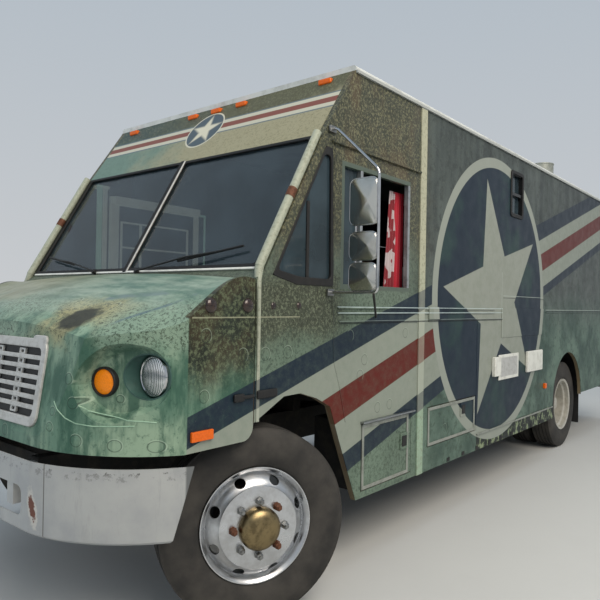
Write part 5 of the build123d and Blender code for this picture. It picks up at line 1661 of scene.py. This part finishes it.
@dataclass
class Body:
    """Trim, boxes, lamps and seams on the walls and the roof."""

    finishes: Palette
    door_line: tuple = ((-2.811, 2.60), (-2.811, 1.641), (-2.789, 1.302), (-2.727, 1.147), (-2.662, 0.93))
    belt_steps: tuple = ((-2.74, -1.775, 1.53), (-1.62, -0.19, 1.53), (1.02, 4.18, 1.59))
    rail_slots: int = 9
    slot_pitch: float = 0.27
    lockers: tuple = ((-2.483, -1.868, 0.463, 0.89), (-1.61, -0.75, 0.594, 0.892))
    latches: tuple = ((-1.957, 0.702), (-1.008, 0.806))
    roof_markers: tuple = (-1.006, -0.259, 0.0, 0.259, 1.006)
    rear_markers: tuple = (-1.006, -0.2, 0.0, 0.2, 1.006)
    gutter_z: float = 3.087
    fan_place: Point = (0.93, 1.70, 0)
    rear_y: float = 4.198
    hinges: tuple = (1.27, 1.96, 2.65)
    guides: tuple = (1.2, 1.62, 2.1, 2.72)

    def seams(self) -> None:
        """Make the seams, belts, rails and locker frames of the sides."""
        black = self.finishes["black"]
        for side, name in ((1, "left"), (-1, "right")):
            if side > 0:
                self.joint("door_joint", self.door_line)
                self.joint("sheet_joint_4", ((-0.74, 1.55), (-0.74, 0.6)))
                for i, (low_y, high_y, z) in enumerate(self.belt_steps):
                    slab(f"belt_step_{i}", (SIDE_X, low_y, z - 0.005), (SIDE_X + 0.007, high_y, z + 0.005),
                         self.finishes["side"], bevel=0.003)
                slab("belt_clip", (SIDE_X, -1.622, 1.54), (SIDE_X + 0.014, -1.424, 1.634),
                     self.finishes["side"], bevel=0.004)
            low, high = mirrored(side, (SIDE_X, -2.84, 2.59), (SIDE_X + 0.018, -1.775, 2.604))
            slab("drip_rail_" + name, low, high, self.finishes["side"], bevel=0.004)
            low, high = mirrored(side, (SIDE_X, -0.73, 0.548), (SIDE_X + 0.012, 1.28, 0.562))
            slab("lower_rail_" + name, low, high, self.finishes["belt"], bevel=0.003)
            for i in range(self.rail_slots):
                y = -1.28 + self.slot_pitch * i
                low, high = mirrored(side, (SIDE_X, y, 0.428), (SIDE_X + 0.003, y + 0.05, 0.458))
                slab(f"rail_slot_{name}_{i}", low, high, self.finishes["black"], bevel=0.0)
            low, high = mirrored(side, (SIDE_X, -3.451, 1.035), (SIDE_X + 0.006, -3.429, 1.735))
            slab("cowl_strip_" + name, low, high, self.finishes["trim"], bevel=0.002)
        for i, (low_y, high_y, low_z, high_z) in enumerate(self.lockers):
            outline = rectangle(low_y + 0.007, high_y - 0.025, low_z + 0.007, high_z - 0.007)
            hole = rectangle(low_y + 0.03, high_y - 0.048, low_z + 0.03, high_z - 0.03)
            body = ("front_locker_door", "middle_locker_door")[i]
            extruded(f"locker_frame_{i}", outline, side_plane(SIDE_X), 0.005, self.finishes["belt"], body,
                     hole=hole)
            at = self.latches[i]
            slab(f"locker_latch_{i}", (SIDE_X, at[0] - 0.048, at[1] - 0.057),
                 (SIDE_X + 0.008, at[0] + 0.048, at[1] + 0.057), self.finishes["side"], body)
            slab(f"locker_slot_{i}", (SIDE_X + 0.006, at[0] - 0.03, at[1] - 0.036),
                 (SIDE_X + 0.0125, at[0] + 0.03, at[1] + 0.036), self.finishes["black"], body)
        slab("locker_drip_0", (SIDE_X, -2.495, 0.893), (SIDE_X + 0.03, -1.84, 0.905),
             self.finishes["aluminium"])

    def joint(self, name: str, points: Sequence[Sequence[float]]) -> None:
        """Run one raised sheet joint over the left side, with a black tube behind it as its painted shadow
        line.

        Args:
            name: the joint's name.
            points: its line as (y, z).
        """
        tube(name, [(SIDE_X - 0.001, *p) for p in points], 0.0035, self.finishes["side"])
        tube(name + "_shade", [(SIDE_X - 0.002, p[0] + 0.005, p[1] - 0.004) for p in points], 0.003,
             self.finishes["plastic"])

    def boxes(self) -> None:
        """Make the two white service boxes, one with its lid open."""
        white = self.finishes["white"]
        piece = slab("power_box", (SIDE_X, -0.415, 1.02), (SIDE_X + 0.034, -0.275, 1.192), white, bevel=0.006)
        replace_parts(piece, "service_boxes")
        slab("power_lid", (SIDE_X, -0.272, 0.975), (SIDE_X + 0.011, 0.215, 1.205), white, bevel=0.004)
        slab("power_lid_field", (SIDE_X + 0.010, -0.235, 1.005), (SIDE_X + 0.012, 0.18, 1.178),
             self.finishes["silver"], bevel=0.0)
        slab("service_box", (SIDE_X, 0.425, 0.997), (SIDE_X + 0.029, 0.865, 1.205), white, bevel=0.008)
        slab("service_box_lid", (SIDE_X + 0.028, 0.455, 1.02), (SIDE_X + 0.0298, 0.835, 1.182), white,
             bevel=0.001)
        slab("service_patch", (SIDE_X, -0.21, 1.36), (SIDE_X + 0.0055, 0.95, 1.63), self.finishes["side"],
             bevel=0.002)
        slab("amber_marker", (SIDE_X, 0.963, 0.785), (SIDE_X + 0.03, 1.013, 0.84), self.finishes["orange"],
             bevel=0.008)

    def roof(self) -> None:
        """Make the marker lamps and the roof fan."""
        for i, x in enumerate(self.roof_markers):
            y = -2.605 - (self.gutter_z - 3.062) * 0.69
            piece = slab(f"roof_marker_{i}", (x - 0.05, y - 0.03, 3.032), (x + 0.05, y + 0.012, 3.068),
                         self.finishes["orange"], bevel=0.01)
            if i == 0:
                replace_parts(piece, "marker_lamps")
        hood = [(3.1215, 0.125), (3.22, 0.125), (3.225, 0.132), (3.318, 0.132), (3.322, 0.138),
                (3.333, 0.138), (3.333, 0.128), (3.26, 0.126), (3.26, 0.0)]
        fan = lathe("roof_fan_body", hood, Matrix.Translation(self.fan_place), self.finishes["belt"],
                    "truck", 48)
        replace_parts(fan, "roof_fan")

    def rear(self) -> None:
        """Make the hinges, lock bars and handles of the rear doors and the hatch."""
        steel, black = self.finishes["aluminium"], self.finishes["black"]
        for side, name in ((1, "left"), (-1, "right")):
            body = "rear_door_" + name
            for i, z in enumerate(self.hinges):
                slab(f"hinge_leaf_{name}_{i}",
                     *mirrored(side, (0.708, self.rear_y, z - 0.05), (0.75, 4.205, z + 0.05)), steel, "truck")
                slab(f"hinge_strap_{name}_{i}",
                     *mirrored(side, (0.50, self.rear_y, z - 0.03), (0.686, 4.205, z + 0.03)), steel, body)
            tube("lock_bar_" + name, [(side * 0.07, 4.214, 1.10), (side * 0.07, 4.214, 2.82)], 0.011, steel,
                 body)
            for i, z in enumerate(self.guides):
                slab(f"lock_guide_{name}_{i}",
                     *mirrored(side, (0.05, self.rear_y, z - 0.02), (0.09, 4.222, z + 0.02)), steel, body)
            slab("lock_handle_" + name, *mirrored(side, (0.06, 4.22, 1.845), (0.27, 4.232, 1.875)), black,
                 body, 0.005)
            slab("lock_handle_foot_" + name,
                 *mirrored(side, (0.055, self.rear_y, 1.83), (0.085, 4.232, 1.89)), steel, body)
        for i, x in enumerate(self.rear_markers):
            slab(f"rear_marker_{i}", (x - 0.045, self.rear_y, 2.955), (x + 0.045, 4.222, 2.99),
                 self.finishes["red"], "truck", 0.008)
        for i, y in enumerate((0.1, 1.3)):
            slab(f"hatch_grip_{i}", (-1.244, y - 0.09, 1.495), (-1.219, y + 0.09, 1.52), black,
                 "serving_hatch", 0.006)

    def clamp(self) -> None:
        """Make the band clamp on each pillar cover."""
        foot, head = Vector((1.196, -3.397, 1.818)), Vector((1.196, -2.928, 2.618))
        up = (head - foot).normalized()
        ahead = Vector((0, -up.z, up.y)) * 0.0244
        for side, name in ((1, "left"), (-1, "right")):
            middle = foot.lerp(head, 0.52) + ahead
            middle.x *= side
            place = plane_at(tuple(middle), (1, 0, 0), tuple(up.cross(Vector((1, 0, 0)))))
            lathe("pillar_clamp_" + name, [(-0.03, 0.0235), (-0.03, 0.0262), (0.03, 0.0262), (0.03, 0.0235)],
                  place, self.finishes["rust"], "truck", 32)

    def build(self) -> None:
        """Make the body's details."""
        self.seams()
        self.boxes()
        self.roof()
        self.rear()
        self.clamp()


@dataclass
class Cab:
    """What shows through the cab's glass: curtain, seat and white cabinets."""

    finishes: Palette
    curtain_x: float = 1.1325
    curtain_y: float = -2.122
    curtain_width: float = 0.262
    curtain_top: float = 2.436
    curtain_drop: float = 0.674

    def curtain(self) -> None:
        """Hang the folded curtain in the open part of the cab window."""
        work = bmesh.new()
        across, down = 84, 24
        rows = []
        for j in range(down + 1):
            drop = j / down
            row = []
            for i in range(across + 1):
                t = i / across
                wave = math.sin(t * math.pi * 13 + 0.7 * math.sin(drop * 2.2)) * (0.7 + 0.3 * drop)
                gather = 1.0 - (1.0 - t) * (0.72 + 0.28 * drop)
                row.append(work.verts.new((
                    self.curtain_x + 0.0112 * wave, self.curtain_y + self.curtain_width * gather,
                    self.curtain_top - self.curtain_drop * drop,
                )))
            rows.append(row)
        for first, second in zip(rows, rows[1:]):
            for i in range(across):
                work.faces.new((first[i], first[i + 1], second[i + 1], second[i]))
        cloth = finish_mesh("window_curtain", work, self.finishes["cloth"], "truck", 0.0, 80)
        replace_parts(cloth, "curtain")

    def partition(self) -> None:
        """Make the pale posts and the window frame that show through the windscreen, in finishes with a
        painted glow.
        """
        white, mint = self.finishes["inner_white"], self.finishes["inner_mint"]
        slab("inner_post_mint", (-1.118, -2.911, 1.5), (-1.10, -2.868, 2.585), mint)
        slab("inner_post_pale", (-1.118, -2.856, 1.5), (-1.10, -2.819, 2.585), white)
        slab("inner_post_tie", (-1.18, -2.911, 2.56), (-1.10, -2.80, 2.585), white)
        ring, door = side_plane(-1.118), "cab_door"
        extruded("inner_frame", rectangle(-2.793, -1.838, 1.5, 2.507), ring, 0.03, white, door,
                 hole=rectangle(-2.712, -1.882, 1.55, 2.44))
        slab("inner_frame_head", (-1.118, -2.776, 2.442), (-1.045, -1.856, 2.507), white, door, 0.006)
        for height in (1.51, 2.46):
            slab(f"inner_frame_tie_{height:.0f}", (-1.1405, -2.50, height), (-1.10, -1.86, height + 0.03),
                 white, door)
        extruded("inner_sash", rectangle(-2.684, -1.954, 1.6, 2.31), ring, 0.02, white, door,
                 hole=rectangle(-2.670, -1.968, 1.614, 2.296))
        extruded("inner_sash_field", rectangle(-2.706, -1.886, 1.55, 2.438), side_plane(-1.1175), 0.004,
                 self.finishes["plastic"], door, bevel=0.0)
        slab("inner_sash_rail", (-1.114, -2.676, 2.084), (-1.094, -1.956, 2.098), white, door)
        slab("inner_sash_bar", (-1.114, -2.493, 1.61), (-1.094, -2.477, 2.30), white, door)
        slab("inner_far_post", (-1.118, -1.753, 1.5), (-1.10, -1.741, 2.47), mint, door)
        slab("inner_far_post_tie", (-1.118, -1.856, 2.452), (-1.10, -1.741, 2.47), mint, door)
        slab("door_flush_handle", (-1.1725, -2.44, 1.27), (-1.168, -2.37, 1.47), self.finishes["plastic"],
             door)

    def cushion(self, name: str, low: Point, high: Point, lean: float, cap: float) -> bpy.types.Object:
        """Make one crowned seat pad by cloth simulation on a voxel-remeshed block.

        Args:
            name: the pad's name.
            low: the block's low corner before it swells.
            high: its high corner.
            lean: turn about X through the block's foot, in radians.
            cap: farthest that a point may move, in metres.

        Returns:
            The pad.
        """
        work = bmesh.new()
        size = [b - a for a, b in zip(low, high)]
        middle = [(a + b) / 2 for a, b in zip(low, high)]
        bmesh.ops.create_cube(work, size=1.0, matrix=Matrix.Translation(middle) @ Matrix.Diagonal((*size, 1)))
        bmesh.ops.bevel(work, geom=list(work.edges), offset=0.035, segments=4, profile=0.6, affect="EDGES")
        foot = Vector((middle[0], low[1], low[2]))
        bmesh.ops.transform(
            work, verts=work.verts,
            matrix=Matrix.Translation(foot) @ Matrix.Rotation(lean, 4, "X") @ Matrix.Translation(-foot),
        )
        pad = finish_mesh(name, work, self.finishes["vinyl"], "truck", 0.0, 80)
        remesh = pad.modifiers.new("remesh", "REMESH")
        remesh.mode = "VOXEL"
        remesh.voxel_size = 0.014
        self.apply_all(pad)
        start = [v.co.copy() for v in pad.data.vertices]
        cloth = pad.modifiers.new("cloth", "CLOTH")
        cloth.settings.use_pressure = True
        cloth.settings.uniform_pressure_force = 4
        cloth.settings.effector_weights.gravity = 0
        for step in range(1, 13):
            bpy.context.scene.frame_set(step)
        self.apply_all(pad)
        bpy.context.scene.frame_set(1)
        for vert, was in zip(pad.data.vertices, start):
            moved = vert.co - was
            if moved.length > cap:
                vert.co = was + moved.normalized() * cap
        for face in pad.data.polygons:
            face.use_smooth = True
        return pad

    @staticmethod
    def apply_all(piece: bpy.types.Object) -> None:
        """Apply every modifier of a piece to its mesh.

        Args:
            piece: the piece that is changed.
        """
        ready = bpy.data.meshes.new_from_object(piece.evaluated_get(bpy.context.evaluated_depsgraph_get()))
        piece.modifiers.clear()
        piece.data = ready

    def seat(self) -> None:
        """Make the driver's seat pads."""
        base = self.cushion("seat_pad", (0.32, -2.595, 1.436), (0.78, -2.175, 1.528), 0.0, 0.012)
        back = self.cushion("seat_back_pad", (0.33, -2.14, 1.46), (0.77, -2.06, 2.10), -0.12, 0.012)
        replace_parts(base, "seat_cushions")

    def build(self) -> None:
        """Make the cab's soft and pale pieces."""
        self.curtain()
        self.partition()
        self.seat()


def dress(finishes: Palette) -> None:
    """Give every CAD node its finish.

    Args:
        finishes: the truck's finishes.
    """
    table = {
        "left_wall": "side", "right_wall": "side", "rear_wall": "side", "roof": "roof",
        "front_cap": "cap", "cab_front": "side", "glazing": "screen", "window_frames": "frames",
        "floor": "chassis", "chassis_frame": "chassis", "engine_block": "iron", "front_axle": "chassis",
        "rear_axle": "chassis", "propshaft": "chassis", "fuel_tank": "aluminium", "exhaust": "steel",
        "hood": "nose", "grille": "silver", "front_lamps": "nose", "front_bumper": "bumper",
        "rear_bumper": "chassis", "serving_hatch": "side", "serving_shelf": "steel", "cab_door": "side",
        "rear_door_left": "side", "rear_door_right": "side", "front_locker_door": "side",
        "middle_locker_door": "side", "locker_tubs": "chassis", "mirrors": "chrome",
        "body_trim": "trim", "pillar_covers": "trim", "marker_lamps": "orange", "dashboard": "plastic",
        "seat_base": "chassis", "seat_cushions": "vinyl", "galley_units": "white",
        "service_boxes": "white", "roof_fan": "belt", "tail_lamps": "red", "mud_flaps": "black",
        "wipers": "plastic", "curtain": "cloth",
    }
    for side in ("left", "right"):
        table["front_wheel_" + side] = "rim"
        table["rear_wheels_" + side] = "rear_rim"
        table["front_tyre_" + side] = "tyre"
        table["rear_tyres_" + side] = "tyre"
        table["knuckle_" + side] = "chassis"
    for name, node in frame["nodes"].items():
        node.data.materials.clear()
        node.data.materials.append(finishes[table.get(name, "chassis")])
        for face in node.data.polygons:
            face.use_smooth = True
        node.data.set_sharp_from_angle(angle=math.radians(32))


def stage_and_light(finishes: Palette) -> None:
    """Make the pale floor, the soft light and the camera.

    Args:
        finishes: the truck's finishes; not used.
    """
    world = bpy.data.worlds.new("studio")
    bpy.context.scene.world = world
    world.use_nodes = True
    tree = world.node_tree
    back = tree.nodes["Background"]
    place = add_node(tree, "ShaderNodeTexCoord")
    split = add_node(tree, "ShaderNodeSeparateXYZ", {0: place.outputs["Generated"]})
    ramp = add_node(tree, "ShaderNodeValToRGB", {0: split.outputs[2]})
    ramp.color_ramp.elements[0].position = 0.0
    ramp.color_ramp.elements[0].color = linear("#d6d9dc")
    ramp.color_ramp.elements[1].position = 0.9
    ramp.color_ramp.elements[1].color = linear("#a9bccd")
    tree.links.new(ramp.outputs[0], back.inputs[0])
    back.inputs[1].default_value = 0.85
    work = bmesh.new()
    bmesh.ops.create_circle(work, cap_ends=True, segments=96, radius=60)
    mesh = bpy.data.meshes.new("floor_plane")
    work.to_mesh(mesh)
    work.free()
    ground = bpy.data.objects.new("floor_plane", mesh)
    bpy.context.scene.collection.objects.link(ground)
    mesh.materials.append(Plain("pale studio floor", "#b9bab8", 0.85, stain="#b2b3b1", stain_share=0.2,
                                stain_mm=900).make())
    for name, place_at, size, power, colour in (
        ("key", (9, -5, 10), 8, 1500, "#fff3e2"), ("fill", (-7, -9, 6), 10, 420, "#e4edf7"),
        ("top", (0, 2, 12), 9, 500, "#ffffff"),
    ):
        lamp = bpy.data.lights.new(name, "AREA")
        lamp.size = size
        lamp.energy = power
        lamp.color = linear(colour)[:3]
        light = bpy.data.objects.new(name, lamp)
        bpy.context.scene.collection.objects.link(light)
        light.location = place_at
        light.rotation_euler = (Vector((0, -1.5, 1.2)) - Vector(place_at)).to_track_quat("-Z", "Y").to_euler()
        light.visible_glossy = name == "key"
    lens = bpy.data.cameras.new("camera")
    lens.lens = CAMERA_LENS
    lens.sensor_width = CAMERA_SENSOR
    camera = bpy.data.objects.new("camera", lens)
    bpy.context.scene.collection.objects.link(camera)
    yaw, pitch, roll = (math.radians(a) for a in (CAMERA_YAW, CAMERA_PITCH, CAMERA_ROLL))
    ahead = Vector((-math.sin(yaw) * math.cos(pitch), math.cos(yaw) * math.cos(pitch), math.sin(pitch)))
    right = ahead.cross(Vector((0, 0, 1))).normalized()
    up = right.cross(ahead)
    tilted_right = right * math.cos(roll) + up * math.sin(roll)
    tilted_up = up * math.cos(roll) - right * math.sin(roll)
    turn = Matrix((tilted_right, tilted_up, -ahead)).transposed().to_4x4()
    turn.translation = Vector(CAMERA_PLACE)
    camera.matrix_world = turn
    bpy.context.scene.camera = camera


def main() -> None:
    """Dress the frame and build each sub-assembly in order."""
    finishes = Palette()
    dress(finishes)
    for part in (Wheels(finishes), Glazing(finishes), Nose(finishes), Mirrors(finishes), Body(finishes),
                 Cab(finishes)):
        known = {piece.name for piece in bpy.data.objects}
        part.build()
        for piece in bpy.data.objects:
            if piece.name not in known:
                log.info("%s: %s", type(part).__name__, piece.name)
    stage_and_light(finishes)
    bpy.context.scene.view_settings.view_transform = "Standard"


if __name__ == "__main__":
    main()
